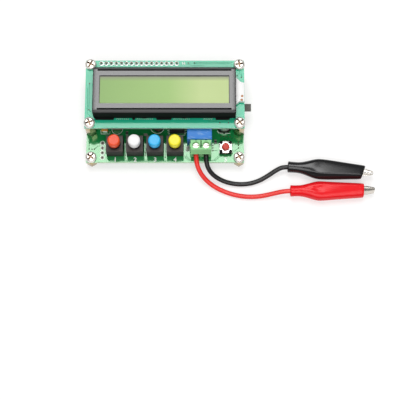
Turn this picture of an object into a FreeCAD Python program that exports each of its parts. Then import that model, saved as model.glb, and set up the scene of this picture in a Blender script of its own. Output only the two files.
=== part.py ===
import FreeCAD, Part
import math
import os

# Component tester: two stacked circuit boards with a character display, four coloured keys, a test button,
# a screw terminal and two test leads that end in booted alligator clips. Millimetres, +Z up.
# The origin is on the surface that the feet stand on, in the middle of the four feet.

V = FreeCAD.Vector

# Driving dimensions: boards and what holds them apart
BOARD_LENGTH = 80.0
BOARD_DEPTH = 50.0
BOARD_THICKNESS = 1.6
DISPLAY_DEPTH = 36.0
FOOT_HEIGHT = 5.0
FOOT_THREAD_DEPTH = 3.6
BOARD_GAP = 11.0
HOLE_INSET = 2.5
HOLE_RADIUS = 1.6
HEX_ACROSS = 5.0
NUT_ACROSS = 5.5
NUT_HEIGHT = 2.4
THREAD_RADIUS = 1.5
STUD_RADIUS = 1.45
NUT_STUD_LENGTH = 4.2
FOOT_STUD_LENGTH = 2.7
SCREW_HEAD_RADIUS = 2.85
SCREW_HEAD_HEIGHT = 2.0
DISPLAY_SCREW_LENGTH = 5.0
BOARD_SCREW_LENGTH = 2.7
PIN_PITCH = 2.54
SOLDER_SIZE = 1.0
HEADER_SOLDER_SIZE = 1.8
SOLDER_HEIGHT = 1.4

# Flat sides of round features that stay hidden
HIDDEN_SIDES = 12

# Driving dimensions: display module
BEZEL_LENGTH = 71.2
BEZEL_DEPTH = 24.2
BEZEL_HEIGHT = 7.8
BEZEL_SHEET = 0.5
BEZEL_Y = 6.25
WINDOW_LENGTH = 64.6
WINDOW_DEPTH = 14.7
WINDOW_Y = 6.55
GLASS_LENGTH = 69.6
GLASS_THICKNESS = 2.3
HEADER_PINS = 16
HEADER_X = -32.2
HEADER_Y = 23.4
HEADER_WIDTH = 2.5
HEADER_STRIP_HEIGHT = 2.5

# Driving dimensions: keys and test button
KEY_X = (-25.2, -15.1, -5.0, 5.1)
KEY_Y = -17.65
KEY_SIZE = 8.5
KEY_HEIGHT = 7.9
KEY_TRAVEL = 1.6
CAP_RADIUS = 3.1
CAP_HEIGHT = 4.3
CAP_TOP_ABOVE_BOARD = 14.0
BUTTON_X = 30.7
BUTTON_Y = -17.9
BUTTON_SIZE = 6.0
BUTTON_RADIUS = 1.75

# Driving dimensions: screw terminal, relay and power switch
TERMINAL_X = 18.2
TERMINAL_PITCH = 5.08
TERMINAL_LENGTH = 10.4
TERMINAL_BACK = -16.3
TERMINAL_DEPTH = 5.8
TERMINAL_HEIGHT = 10.0
TERMINAL_SCREW_Y = -19.0
WIRE_HEIGHT = 2.3
RELAY_X = 17.45
RELAY_FRONT = -16.0
RELAY_SIZE = (12.5, 7.5, 10.3)
SWITCH_Y = 4.35
SWITCH_LENGTH = 8.7
SLIDE_TRAVEL = 2.0
KNOB_REACH = 43.7
SOCKET_Y = 14.2

# Driving dimensions: leads and clips
LEAD_RADIUS = 1.2
STRAND_RADIUS = 0.7
JAW_SHEET = 0.5
JAW_WIDTH = 4.2
JAW_PLAY = 0.1
PIVOT_RADIUS = 0.7
BOOT_WALL = 0.8

# Heights that follow from them
BOARD_Z = FOOT_HEIGHT
DECK = BOARD_Z + BOARD_THICKNESS
DISPLAY_Z = DECK + BOARD_GAP
DISPLAY_TOP = DISPLAY_Z + BOARD_THICKNESS
BEZEL_TOP = DISPLAY_TOP + BEZEL_HEIGHT
WIRE_Z = DECK + WIRE_HEIGHT

# Places that follow from them
BACK = BOARD_DEPTH / 2
SIDE = BOARD_LENGTH / 2
HOLE_X = SIDE - HOLE_INSET
HOLE_Y = BACK - HOLE_INSET
DISPLAY_FRONT = BACK - DISPLAY_DEPTH
DISPLAY_HOLE_Y = DISPLAY_FRONT + HOLE_INSET
FOOT_PLACES = [(x, y) for x in (-HOLE_X, HOLE_X) for y in (-HOLE_Y, HOLE_Y)]
DISPLAY_PLACES = [(x, y) for x in (-HOLE_X, HOLE_X) for y in (DISPLAY_HOLE_Y, HOLE_Y)]
NUT_PLACES = [(x, DISPLAY_HOLE_Y) for x in (-HOLE_X, HOLE_X)]
FRONT_PLACES = [(x, -HOLE_Y) for x in (-HOLE_X, HOLE_X)]
HEADER_PLACES = [(HEADER_X + i * PIN_PITCH, HEADER_Y) for i in range(HEADER_PINS)]
TERMINAL_POLES = (TERMINAL_X - TERMINAL_PITCH / 2, TERMINAL_X + TERMINAL_PITCH / 2)


# Small building blocks

def block(x0, x1, y0, y1, z0, z1):
    return Part.makeBox(x1 - x0, y1 - y0, z1 - z0, V(x0, y0, z0))


def centred(x, y, length, depth, z0, z1):
    return block(x - length / 2, x + length / 2, y - depth / 2, y + depth / 2, z0, z1)


def rod(x, y, z0, z1, radius):
    return Part.makeCylinder(radius, z1 - z0, V(x, y, z0))


def prism(points, direction):
    """A closed polygon of points, pushed along a vector."""
    corners = [V(*p) for p in points]
    return Part.Face(Part.makePolygon(corners + corners[:1])).extrude(V(*direction))


def many_sided(x, y, z0, z1, reach, sides=HIDDEN_SIDES):
    """An upright bar with flat sides, reach from its axis to its corners."""
    turns = [2 * math.pi * (i + 0.5) / sides for i in range(sides)]
    points = [(x + reach * math.cos(a), y + reach * math.sin(a), z0) for a in turns]
    return prism(points, (0, 0, z1 - z0))


def hidden_hole(x, y, z0, z1, radius):
    """A many-sided bar to cut with, that leaves room for a round bar of this radius."""
    return many_sided(x, y, z0, z1, radius / math.cos(math.pi / HIDDEN_SIDES))


def hexagon(x, y, z0, z1, across):
    return many_sided(x, y, z0, z1, across / math.sqrt(3), 6)


def rounded(shape, radius):
    """Round the upright edges of a block."""
    upright = [e for e in shape.Edges if e.BoundBox.XLength + e.BoundBox.YLength < 1e-4]
    return shape.makeFillet(radius, upright)


def bevelled(shape, z, size):
    """Bevel every edge that lies at height z."""
    level = [e for e in shape.Edges if max(abs(e.BoundBox.ZMin - z), abs(e.BoundBox.ZMax - z)) < 1e-4]
    return shape.makeChamfer(size, level)


def panelled(panels):
    """A closed solid of flat panels, each given by its corners."""
    faces = [Part.Face(Part.makePolygon(corners + corners[:1])) for corners in panels]
    return Part.makeSolid(Part.makeShell(faces))


def joined(shapes):
    return shapes[0].multiFuse(shapes[1:]).removeSplitter()


def group(shapes):
    return Part.makeCompound(shapes)


def solder_joint(x, y, z, size, height):
    """A small pyramid of solder round the end of a lead, on a board's face. A height below 0 points down."""
    half = size / 2
    base = [V(x + dx, y + dy, z) for dx, dy in ((-half, -half), (half, -half), (half, half), (-half, half))]
    tip = V(x, y, z + height)
    return panelled([base] + [[base[i - 1], base[i], tip] for i in range(4)])


# Where leads are soldered under the main board

KEY_PINS = [(x + dx, KEY_Y + dy) for x in KEY_X for dx in (-2.25, 2.25) for dy in (-2.5, 0.0, 2.5)]
BUTTON_PINS = [(BUTTON_X + dx, BUTTON_Y + dy) for dx in (-3.2, 3.2) for dy in (-2.25, 2.25)]
TERMINAL_PIN_Y = TERMINAL_BACK - 0.8
TERMINAL_PINS = [(x, TERMINAL_PIN_Y) for x in TERMINAL_POLES]
RELAY_PINS = [(RELAY_X + dx, RELAY_FRONT + dy) for dx in (-5.08, 0.0, 5.08) for dy in (1.21, 6.29)]
SWITCH_PINS = [(37.2, SWITCH_Y + dy) for dy in (-2.35, 0.0, 2.35)]
CRYSTAL_X = -14.0
CRYSTAL_Y = -4.6
CRYSTAL_PINS = [(CRYSTAL_X + dx, CRYSTAL_Y) for dx in (-2.44, 2.44)]
COIL_X = -3.5
COIL_Y = -5.8
COIL_PINS = [(COIL_X + dx, COIL_Y) for dx in (-1.5, 1.5)]
FILM_PLACES = [(-24.4, -6.9), (-24.4, -1.0)]
FILM_PINS = [(x + dx, y) for x, y in FILM_PLACES for dx in (-1.27, 1.27)]
SMALL_PINS = RELAY_PINS + SWITCH_PINS + COIL_PINS + CRYSTAL_PINS + FILM_PINS
ALL_PINS = KEY_PINS + BUTTON_PINS + TERMINAL_PINS + SMALL_PINS + HEADER_PLACES


def main_board():
    board = centred(0, 0, BOARD_LENGTH, BOARD_DEPTH, BOARD_Z, DECK)
    holes = [hidden_hole(x, y, BOARD_Z - 1, DECK + 1, HOLE_RADIUS) for x, y in FOOT_PLACES + NUT_PLACES]
    return board.cut(holes)


def solder_joints():
    below = [solder_joint(x, y, BOARD_Z, SOLDER_SIZE, -SOLDER_HEIGHT) for x, y in ALL_PINS]
    above = [solder_joint(x, y, DISPLAY_TOP, HEADER_SOLDER_SIZE, SOLDER_HEIGHT) for x, y in HEADER_PLACES]
    return group(below + above)


# Fasteners

def standoff(x, y):
    """A hexagonal spacer whose stud goes through the main board, into a nut or into the top of a foot."""
    length = NUT_STUD_LENGTH if (x, y) in NUT_PLACES else FOOT_STUD_LENGTH
    body = hexagon(x, y, DECK, DISPLAY_Z, HEX_ACROSS)
    body = body.cut(hidden_hole(x, y, DISPLAY_Z - 6.5, DISPLAY_Z + 1, THREAD_RADIUS))
    return body.fuse(many_sided(x, y, DECK - length, DECK, STUD_RADIUS))


def foot(x, y):
    """A hexagonal foot: a round thread from below for a base screw, and a seat above it for the board's screw."""
    body = hexagon(x, y, 0, FOOT_HEIGHT, HEX_ACROSS)
    body = body.cut(hidden_hole(x, y, FOOT_THREAD_DEPTH - 0.1, FOOT_HEIGHT + 1, THREAD_RADIUS))
    return body.cut(rod(x, y, -1, FOOT_THREAD_DEPTH, THREAD_RADIUS))


def nut(x, y):
    body = hexagon(x, y, BOARD_Z - NUT_HEIGHT, BOARD_Z, NUT_ACROSS)
    return body.cut(hidden_hole(x, y, 0, BOARD_Z + 1, THREAD_RADIUS))


def pan_screw(x, y, seat, length):
    top = seat + SCREW_HEAD_HEIGHT
    head = bevelled(many_sided(x, y, seat, top, SCREW_HEAD_RADIUS, 16), top, 0.6)
    return head.fuse(many_sided(x, y, seat - length, seat, STUD_RADIUS))


def pan_screws():
    top = [pan_screw(x, y, DISPLAY_TOP, DISPLAY_SCREW_LENGTH) for x, y in DISPLAY_PLACES]
    front = [pan_screw(x, y, DECK, BOARD_SCREW_LENGTH) for x, y in FRONT_PLACES]
    return group(top + front)


# Display module

BEZEL_SIDE = BEZEL_LENGTH / 2
BEZEL_FRONT = BEZEL_Y - BEZEL_DEPTH / 2
BEZEL_BACK = BEZEL_Y + BEZEL_DEPTH / 2
TAB_X = (-29.0, -10.0, 10.0, 29.0)
TAB_WIDTH = 1.6
TAB_ROWS = (BEZEL_FRONT + BEZEL_SHEET / 2, BEZEL_BACK - BEZEL_SHEET / 2)
BEZEL_FEET = [(-34.9, -25.1), (-16.3, -14.5), (-4.3, 3.7), (25.3, 32.8)]
FOOT_REACH = 1.0
FOOT_SHEET = 0.5
GROOVE_ROWS = (-3.5, 16.7)
GROOVE_RADIUS = 0.55
LUG_HEIGHT = 2.6
GLASS_TOP = BEZEL_TOP - BEZEL_SHEET - 0.05
GLASS_UNDER = GLASS_TOP - GLASS_THICKNESS
STRIP_WIDTH = 2.0
STRIP_ROWS = (BEZEL_FRONT + BEZEL_SHEET + 1.4, BEZEL_BACK - BEZEL_SHEET - 1.4)
SEAT = DISPLAY_TOP + 0.05


def display_board():
    board = block(-SIDE, SIDE, DISPLAY_FRONT, BACK, DISPLAY_Z, DISPLAY_TOP)
    below = DISPLAY_Z - 1
    above = DISPLAY_TOP + 1
    cuts = [hidden_hole(x, y, below, above, HOLE_RADIUS) for x, y in DISPLAY_PLACES]
    cuts += [centred(x, y, TAB_WIDTH + 0.5, BEZEL_SHEET + 0.4, below, above) for x in TAB_X for y in TAB_ROWS]
    return board.cut(cuts)


def bezel_tab(x, y):
    """A tab that goes through the display board and is twisted under it."""
    straight = centred(x, y, TAB_WIDTH, BEZEL_SHEET, DISPLAY_Z - 0.1, DISPLAY_TOP + 0.5)
    twisted = centred(x, y, TAB_WIDTH, BEZEL_SHEET, DISPLAY_Z - 1.2, DISPLAY_Z - 0.1)
    twisted.rotate(V(x, y, 0), V(0, 0, 1), 40)
    return straight.fuse(twisted)


def bezel_foot(x0, x1):
    """A flange at the foot of the bezel's front wall, with slanted ends, that lies on the display board."""
    slant = 0.4
    inner = BEZEL_FRONT + 0.1
    outer = BEZEL_FRONT - FOOT_REACH
    outline = [(x0, inner), (x0 + slant, outer), (x1 - slant, outer), (x1, inner)]
    return prism([(x, y, DISPLAY_TOP) for x, y in outline], (0, 0, FOOT_SHEET))


def pressed_groove(y):
    """A round-bottomed groove pressed along the bezel's top."""
    reach = WINDOW_LENGTH / 2 + 0.9
    return Part.makeCylinder(GROOVE_RADIUS, 2 * reach, V(-reach, y, BEZEL_TOP + 0.3), V(1, 0, 0))


def display_bezel():
    outer = bevelled(centred(0, BEZEL_Y, BEZEL_LENGTH, BEZEL_DEPTH, DISPLAY_TOP, BEZEL_TOP), BEZEL_TOP, 0.6)
    inner = centred(0, BEZEL_Y, BEZEL_LENGTH - 2 * BEZEL_SHEET, BEZEL_DEPTH - 2 * BEZEL_SHEET,
                    DISPLAY_TOP - 1, BEZEL_TOP - BEZEL_SHEET)
    window = centred(0, WINDOW_Y, WINDOW_LENGTH, WINDOW_DEPTH, DISPLAY_TOP, BEZEL_TOP + 1)
    notch = block(BEZEL_SIDE - 1, BEZEL_SIDE + 1, 0.6, 15.0, DISPLAY_TOP - 1, DISPLAY_TOP + LUG_HEIGHT + 0.3)
    shell = outer.cut([inner, window, notch] + [pressed_groove(y) for y in GROOVE_ROWS])
    tabs = [bezel_tab(x, y) for x in TAB_X for y in TAB_ROWS]
    return joined([shell] + tabs + [bezel_foot(x0, x1) for x0, x1 in BEZEL_FEET])


def display_glass():
    """Two bonded panes: the lower one is wider, and its ledges meet the contact strips."""
    middle = GLASS_TOP - GLASS_THICKNESS / 2
    lower = centred(0, BEZEL_Y, GLASS_LENGTH, BEZEL_DEPTH - 1.6, GLASS_UNDER, middle)
    upper = centred(0, WINDOW_Y, GLASS_LENGTH, WINDOW_DEPTH + 3.9, middle, GLASS_TOP)
    return lower.fuse(upper)


def backlight():
    """Light guide under the glass, with the lug that holds its light source beside the bezel."""
    guide = block(-33.6, 33.6, STRIP_ROWS[0] + 1.3, STRIP_ROWS[1] - 1.3, SEAT, GLASS_UNDER - 0.05)
    outline = [(33.0, 0.9), (35.9, 0.9), (37.5, 2.3), (39.8, 2.3), (39.8, 12.1), (38.3, 12.4), (36.0, 14.7),
               (33.0, 14.7)]
    lug = prism([(x, y, SEAT) for x, y in outline], (0, 0, LUG_HEIGHT))
    return joined([guide, lug])


def contact_strips():
    return group([centred(0, y, 66.0, STRIP_WIDTH, SEAT, GLASS_UNDER - 0.05) for y in STRIP_ROWS])


def controller_blobs():
    drops = [many_sided(x, 6.0, DISPLAY_Z - 1.5, DISPLAY_Z, 6.3) for x in (-15.0, 12.0)]
    return group([bevelled(drop, DISPLAY_Z - 1.5, 1.2) for drop in drops])


def header_bar(z0, z1):
    half = PIN_PITCH / 2
    return block(HEADER_X - half, HEADER_PLACES[-1][0] + half, HEADER_Y - HEADER_WIDTH / 2,
                 HEADER_Y + HEADER_WIDTH / 2, z0, z1)


def pin_header():
    strip = header_bar(DISPLAY_Z - HEADER_STRIP_HEIGHT, DISPLAY_Z)
    pins = [centred(x, y, 0.64, 0.64, DECK + 2.4, DISPLAY_Z - 1) for x, y in HEADER_PLACES]
    return joined([strip] + pins)


def header_socket():
    top = DISPLAY_Z - HEADER_STRIP_HEIGHT - 0.05
    return header_bar(DECK, top).cut([centred(x, y, 0.9, 0.9, DECK + 1.6, top + 1) for x, y in HEADER_PLACES])


# Keys: a hollow housing, a plunger on a spring and a press-on cap

KEY_TOP = DECK + KEY_HEIGHT
KEY_FLOOR = DECK + 1.0
KEY_CEILING = KEY_TOP - 1.0
FLANGE_TOP = KEY_CEILING - 0.05
FLANGE_UNDER = FLANGE_TOP - 0.9
COLLAR_RADIUS = 2.8
COLLAR_TOP = KEY_TOP + 0.9
CAP_TOP = DECK + CAP_TOP_ABOVE_BOARD
CAP_UNDER = CAP_TOP - CAP_HEIGHT
STEM_SIZE = 2.4
STEM_TOP = CAP_TOP - 1.4


def key_housing(x):
    body = centred(x, KEY_Y, KEY_SIZE, KEY_SIZE, DECK, KEY_TOP)
    cavity = centred(x, KEY_Y, 6.8, 6.8, KEY_FLOOR, KEY_CEILING)
    hole = hidden_hole(x, KEY_Y, KEY_CEILING - 0.5, KEY_TOP + 1, COLLAR_RADIUS + 0.15)
    return body.cut([cavity, hole])


def key_plunger(x):
    flange = centred(x, KEY_Y, 6.4, 6.4, FLANGE_UNDER, FLANGE_TOP)
    collar = many_sided(x, KEY_Y, FLANGE_UNDER, COLLAR_TOP, COLLAR_RADIUS)
    guide = centred(x, KEY_Y, 1.6, 1.6, KEY_FLOOR + KEY_TRAVEL + 0.4, FLANGE_UNDER + 0.1)
    stem = centred(x, KEY_Y, STEM_SIZE, STEM_SIZE, COLLAR_TOP - 0.1, STEM_TOP)
    return joined([flange, collar, guide, stem])


def key_spring(x):
    outer = many_sided(x, KEY_Y, KEY_FLOOR + 0.02, FLANGE_UNDER - 0.02, 2.1)
    return outer.cut(many_sided(x, KEY_Y, KEY_FLOOR - 1, FLANGE_UNDER + 1, 1.6))


def key_cap(x):
    """A round cap with a bevelled top edge and a square socket for the stem."""
    cap = bevelled(rod(x, KEY_Y, CAP_UNDER, CAP_TOP, CAP_RADIUS), CAP_TOP, 0.4)
    return cap.cut(centred(x, KEY_Y, STEM_SIZE + 0.06, STEM_SIZE + 0.06, CAP_UNDER - 1, STEM_TOP + 0.03))


# Test button

BUTTON_DECK = DECK + 3.0
BUTTON_COVER = 0.3
BUTTON_PEGS = [(BUTTON_X + dx, BUTTON_Y + dy) for dx in (-2.3, 2.3) for dy in (-2.3, 2.3)]


def test_switch_base():
    base = centred(BUTTON_X, BUTTON_Y, BUTTON_SIZE, BUTTON_SIZE, DECK, BUTTON_DECK)
    base = base.cut(hidden_hole(BUTTON_X, BUTTON_Y, DECK + 1.6, BUTTON_DECK + 1, 2.35))
    pegs = [many_sided(x, y, BUTTON_DECK - 0.1, BUTTON_DECK + 0.6, 0.5, 8) for x, y in BUTTON_PEGS]
    legs = [centred(x, y, 0.5, 0.7, DECK, DECK + 1.8) for x, y in BUTTON_PINS]
    return joined([base] + pegs + legs)


def test_switch_cover():
    """A steel plate over the base, held by the pegs, with a fold down its front and its back."""
    z0 = BUTTON_DECK + 0.02
    z1 = z0 + BUTTON_COVER
    pieces = [centred(BUTTON_X, BUTTON_Y, 5.9, 5.9, z0, z1)]
    for side in (-1, 1):
        y = BUTTON_Y + side * (BUTTON_SIZE / 2 + 0.12)
        pieces.append(centred(BUTTON_X, y, 2.4, 0.2, BUTTON_DECK - 1.4, z1))
        pieces.append(centred(BUTTON_X, y - side * 0.1, 2.4, 0.3, z0, z1))
    holes = [many_sided(x, y, z0 - 1, z0 + 1, 0.55, 8) for x, y in BUTTON_PEGS]
    holes.append(hidden_hole(BUTTON_X, BUTTON_Y, z0 - 1, z0 + 1, BUTTON_RADIUS + 0.15))
    return joined(pieces).cut(holes)


def test_switch_plunger():
    rim = BUTTON_DECK - 0.08
    flange = many_sided(BUTTON_X, BUTTON_Y, BUTTON_DECK - 0.6, rim, 2.2)
    return flange.fuse(rod(BUTTON_X, BUTTON_Y, rim, BUTTON_DECK + 1.9, BUTTON_RADIUS))


# Screw terminal: a housing with two lift clamps on captive screws

TERMINAL_TOP = DECK + TERMINAL_HEIGHT
TERMINAL_FRONT = TERMINAL_BACK - TERMINAL_DEPTH
TERMINAL_LEFT = TERMINAL_X - TERMINAL_LENGTH / 2
TERMINAL_RIGHT = TERMINAL_X + TERMINAL_LENGTH / 2
CLAMP_UNDER = DECK + 0.9
CLAMP_TOP = DECK + 6.1
CLAMP_HALF = 2.0
CLAMP_SHEET = 0.6
BAR_UNDER = WIRE_Z + STRAND_RADIUS + 0.1
BAR_TOP = BAR_UNDER + 0.7
CAVITY_TOP = DECK + 6.5
LEDGE_TOP = CAVITY_TOP + 0.5
SCREW_TOP = LEDGE_TOP + 1.7


def terminal_side():
    """End view of the housing: an upright back, a slightly leaning front and a lip above the wires."""
    lip = DECK + 4.4
    return [(TERMINAL_FRONT, DECK), (TERMINAL_FRONT, lip), (TERMINAL_FRONT + 0.6, lip + 0.5),
            (TERMINAL_FRONT + 0.7, TERMINAL_TOP), (TERMINAL_BACK - 0.1, TERMINAL_TOP),
            (TERMINAL_BACK, TERMINAL_TOP - 0.8), (TERMINAL_BACK, DECK)]


def terminal_pole_cuts(x):
    """Clamp space, wire opening, stepped screw hole and the notch in the back edge of one pole."""
    return [block(x - 2.2, x + 2.2, TERMINAL_FRONT + 1.25, TERMINAL_BACK - 0.6, DECK - 1, CAVITY_TOP),
            block(x - 2.0, x + 2.0, TERMINAL_FRONT - 1, TERMINAL_FRONT + 1.3, DECK + 0.4, DECK + 4.2),
            hidden_hole(x, TERMINAL_SCREW_Y, CAVITY_TOP - 0.5, LEDGE_TOP + 0.1, 1.4),
            rod(x, TERMINAL_SCREW_Y, LEDGE_TOP, TERMINAL_TOP + 1, 1.75),
            centred(x, TERMINAL_BACK, 0.9, 0.7, TERMINAL_TOP - 1.2, TERMINAL_TOP + 1)]


def terminal_housing():
    body = prism([(TERMINAL_LEFT, y, z) for y, z in terminal_side()], (TERMINAL_LENGTH, 0, 0))
    cuts = [cut for x in TERMINAL_POLES for cut in terminal_pole_cuts(x)]
    cuts.append(centred(TERMINAL_X, TERMINAL_SCREW_Y + 0.6, 0.6, 2.0, TERMINAL_TOP - 0.6, TERMINAL_TOP + 1))
    cuts.append(many_sided(TERMINAL_X, TERMINAL_SCREW_Y - 0.5, TERMINAL_TOP - 0.6, TERMINAL_TOP + 1, 0.6, 8))
    dovetail = [(TERMINAL_RIGHT + 0.1, -18.0), (TERMINAL_RIGHT + 0.1, -19.4), (TERMINAL_RIGHT - 0.5, -19.8),
                (TERMINAL_RIGHT - 0.5, -17.6)]
    cuts.append(prism([(x, y, DECK - 1) for x, y in dovetail], (0, 0, TERMINAL_HEIGHT + 2)))
    rib = [(TERMINAL_LEFT + 0.05, -18.1), (TERMINAL_LEFT + 0.05, -19.3), (TERMINAL_LEFT - 0.4, -19.6),
           (TERMINAL_LEFT - 0.4, -17.8)]
    key = prism([(x, y, DECK) for x, y in rib], (0, 0, TERMINAL_HEIGHT - 1))
    return body.cut(cuts).fuse(key).removeSplitter()


def terminal_contacts():
    bars = []
    for x in TERMINAL_POLES:
        bar = block(x - 1.25, x + 1.25, -20.4, TERMINAL_PIN_Y + 0.15, BAR_UNDER, BAR_TOP)
        leg = centred(x, TERMINAL_PIN_Y, 0.6, 0.3, DECK, BAR_TOP)
        bars.append(joined([bar, leg]))
    return group(bars)


def terminal_clamp(x):
    """A sheet-metal ring that the screw lifts, so that it presses the wire up against the contact bar."""
    y = TERMINAL_SCREW_Y - 0.05
    ring = centred(x, y, 2 * CLAMP_HALF, 2.9, CLAMP_UNDER, CLAMP_TOP)
    opening = centred(x, y, 2 * (CLAMP_HALF - CLAMP_SHEET), 4, CLAMP_UNDER + CLAMP_SHEET, CLAMP_TOP - 0.8)
    return ring.cut([opening, hidden_hole(x, TERMINAL_SCREW_Y, CLAMP_TOP - 2, CLAMP_TOP + 1, 1.33)])


def terminal_screw(x):
    seat = LEDGE_TOP + 0.05
    head = rod(x, TERMINAL_SCREW_Y, seat, SCREW_TOP, 1.62)
    head = head.cut(centred(x, TERMINAL_SCREW_Y, 4, 0.5, SCREW_TOP - 0.7, SCREW_TOP + 1))
    return head.fuse(many_sided(x, TERMINAL_SCREW_Y, BAR_TOP + 0.1, seat, 1.25))


# Relay, power switch and power socket

def relay():
    length, depth, height = RELAY_SIZE
    y = RELAY_FRONT + depth / 2
    case = bevelled(centred(RELAY_X, y, length, depth, DECK + 0.3, DECK + height), DECK + height, 0.35)
    ribs = [centred(RELAY_X + dx, y, 1.0, depth - 1.2, DECK, DECK + 0.4) for dx in (-2.5, 2.5)]
    return joined([case] + ribs)


SWITCH_IN = 35.0
SWITCH_OUT = 39.3
SWITCH_TOP = DECK + 4.8
KNOB_WIDTH = 3.6
KNOB_Y = SWITCH_Y - SLIDE_TRAVEL / 2


def power_switch_body():
    half = SWITCH_LENGTH / 2
    body = block(SWITCH_IN, SWITCH_OUT, SWITCH_Y - half, SWITCH_Y + half, DECK, SWITCH_TOP)
    cavity = centred(SWITCH_OUT, SWITCH_Y, 5.4, 6.4, DECK + 1.4, DECK + 3.6)
    return body.cut(cavity)


def power_switch_frame():
    """A folded steel cover over the switch body, with the knob's window in its outer wall."""
    sheet = 0.3
    half = SWITCH_LENGTH / 2 + 0.02
    wall = SWITCH_OUT + 0.02
    roof = SWITCH_TOP + 0.02
    outer = block(SWITCH_IN + 0.4, wall + sheet, SWITCH_Y - half - sheet, SWITCH_Y + half + sheet,
                  DECK + 0.4, roof + sheet)
    inner = block(SWITCH_IN - 1, wall, SWITCH_Y - half, SWITCH_Y + half, DECK - 1, roof)
    window = centred(SWITCH_OUT, SWITCH_Y, 3, 6.2, DECK + 1.3, DECK + 3.7)
    return outer.cut([inner, window])


def power_switch_slider():
    carriage = block(SWITCH_OUT - 2.5, SWITCH_OUT - 0.1, KNOB_Y - 2.0, KNOB_Y + 2.0, DECK + 1.5, DECK + 3.5)
    knob = block(SWITCH_OUT - 0.2, KNOB_REACH, KNOB_Y - KNOB_WIDTH / 2, KNOB_Y + KNOB_WIDTH / 2,
                 DECK + 1.6, DECK + 3.4)
    grips = [centred(KNOB_REACH - 0.9 * i - 0.7, KNOB_Y, 0.35, KNOB_WIDTH + 1, DECK + 3.2, DECK + 4)
             for i in range(3)]
    return carriage.fuse(knob).cut(grips)


SOCKET_IN = 31.0
SOCKET_OUT = 40.3
SOCKET_HEIGHT = 3.9
SOCKET_HALF = 3.85
SOCKET_SHEET = 0.35
SOCKET_TABS = [(x, side) for x in (SOCKET_IN + 1.5, SOCKET_OUT - 2.5) for side in (-1, 1)]


def socket_outline(x, shrink):
    """The plug's outline: wide above, with slanted lower corners."""
    half = SOCKET_HALF - shrink
    low = DECK + 0.05 + shrink
    high = DECK + SOCKET_HEIGHT - shrink
    waist = low + 1.5
    return [(x, SOCKET_Y - half + 0.8, low), (x, SOCKET_Y + half - 0.8, low), (x, SOCKET_Y + half, waist),
            (x, SOCKET_Y + half, high), (x, SOCKET_Y - half, high), (x, SOCKET_Y - half, waist)]


def usb_shell():
    length = SOCKET_OUT - SOCKET_IN
    outer = prism(socket_outline(SOCKET_IN, 0), (length, 0, 0))
    inner = prism(socket_outline(SOCKET_IN + SOCKET_SHEET, SOCKET_SHEET), (length, 0, 0))
    pieces = [outer.cut(inner)]
    for x, side in SOCKET_TABS:
        pieces.append(centred(x, SOCKET_Y + side * (SOCKET_HALF + 0.4), 1.6, 1.0, DECK, DECK + 0.3))
        pieces.append(centred(x, SOCKET_Y + side * (SOCKET_HALF + 0.05), 1.6, 0.3, DECK, DECK + 2.0))
    return joined(pieces)


def usb_insert():
    back = block(SOCKET_IN + 0.4, SOCKET_IN + 2.4, SOCKET_Y - 2.6, SOCKET_Y + 2.6, DECK + 0.5, DECK + 3.4)
    tongue = block(SOCKET_IN + 2.3, SOCKET_OUT - 1.4, SOCKET_Y - 2.0, SOCKET_Y + 2.0, DECK + 1.7, DECK + 2.6)
    return joined([back, tongue])


# Chips and small parts on the main board

CHIP_X = 6.05
CHIP_Y = -4.1
CHIP_SIZE = (7.5, 11.5)
CHIP_LEADS = 9
CHIP_PITCH = 1.27


def gull_lead(side, y):
    """One bent chip lead: out of the body, down, and flat on the board."""
    x = CHIP_X + side * CHIP_SIZE[0] / 2
    outline = [(-0.1, 1.0), (0.6, 1.0), (1.35, 0.2), (1.35, 0.0), (0.9, 0.0), (-0.1, 0.75)]
    return prism([(x + side * u, y - 0.2, DECK + z) for u, z in outline], (0, 0.4, 0))


def microcontroller():
    z0 = DECK + 0.15
    z1 = DECK + 2.4
    body = bevelled(centred(CHIP_X, CHIP_Y, *CHIP_SIZE, z0, z1), z1, 0.2)
    body = body.cut(many_sided(CHIP_X - 2.6, CHIP_Y - 4.6, z1 - 0.1, z1 + 1, 0.5, 8))
    first = CHIP_Y - (CHIP_LEADS - 1) / 2 * CHIP_PITCH
    leads = [gull_lead(side, first + i * CHIP_PITCH) for side in (-1, 1) for i in range(CHIP_LEADS)]
    return joined([body] + leads)


CAN_X = 30.0
CAN_Y = -6.0
CAN_RADIUS = 3.1
CAN_BASE = 6.6


def electrolytic_capacitor():
    """A surface-mount can on a square base with two cut corners."""
    half = CAN_BASE / 2
    cut = 1.2
    z0 = DECK + 0.1
    z1 = z0 + 1.3
    top = DECK + 5.9
    outline = [(cut - half, -half), (half - cut, -half), (half, cut - half), (half, half), (-half, half),
               (-half, cut - half)]
    base = prism([(CAN_X + dx, CAN_Y + dy, z0) for dx, dy in outline], (0, 0, z1 - z0))
    can = bevelled(rod(CAN_X, CAN_Y, z1 - 0.2, top, CAN_RADIUS), top, 0.4)
    feet = [centred(CAN_X, CAN_Y + side * 2.9, 0.9, 1.6, DECK, z0 + 0.1) for side in (-1, 1)]
    return joined([base, can] + feet)


def tantalum_capacitor():
    x, y, length, width = -30.7, -6.2, 6.0, 3.2
    body = bevelled(centred(x, y, width, length - 0.6, DECK + 0.1, DECK + 2.5), DECK + 2.5, 0.25)
    ends = [centred(x, y + side * (length / 2 - 0.25), 2.2, 0.5, DECK, DECK + 1.2) for side in (-1, 1)]
    return joined([body] + ends)


def crystal():
    """A low metal can with round ends on a flat rim, standing on its insulating sheet."""
    rim = centred(CRYSTAL_X, CRYSTAL_Y, 11.0, 4.6, DECK, DECK + 0.7)
    can = rounded(centred(CRYSTAL_X, CRYSTAL_Y, 10.2, 3.8, DECK + 0.6, DECK + 3.8), 1.85)
    return joined([rim, can])


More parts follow.
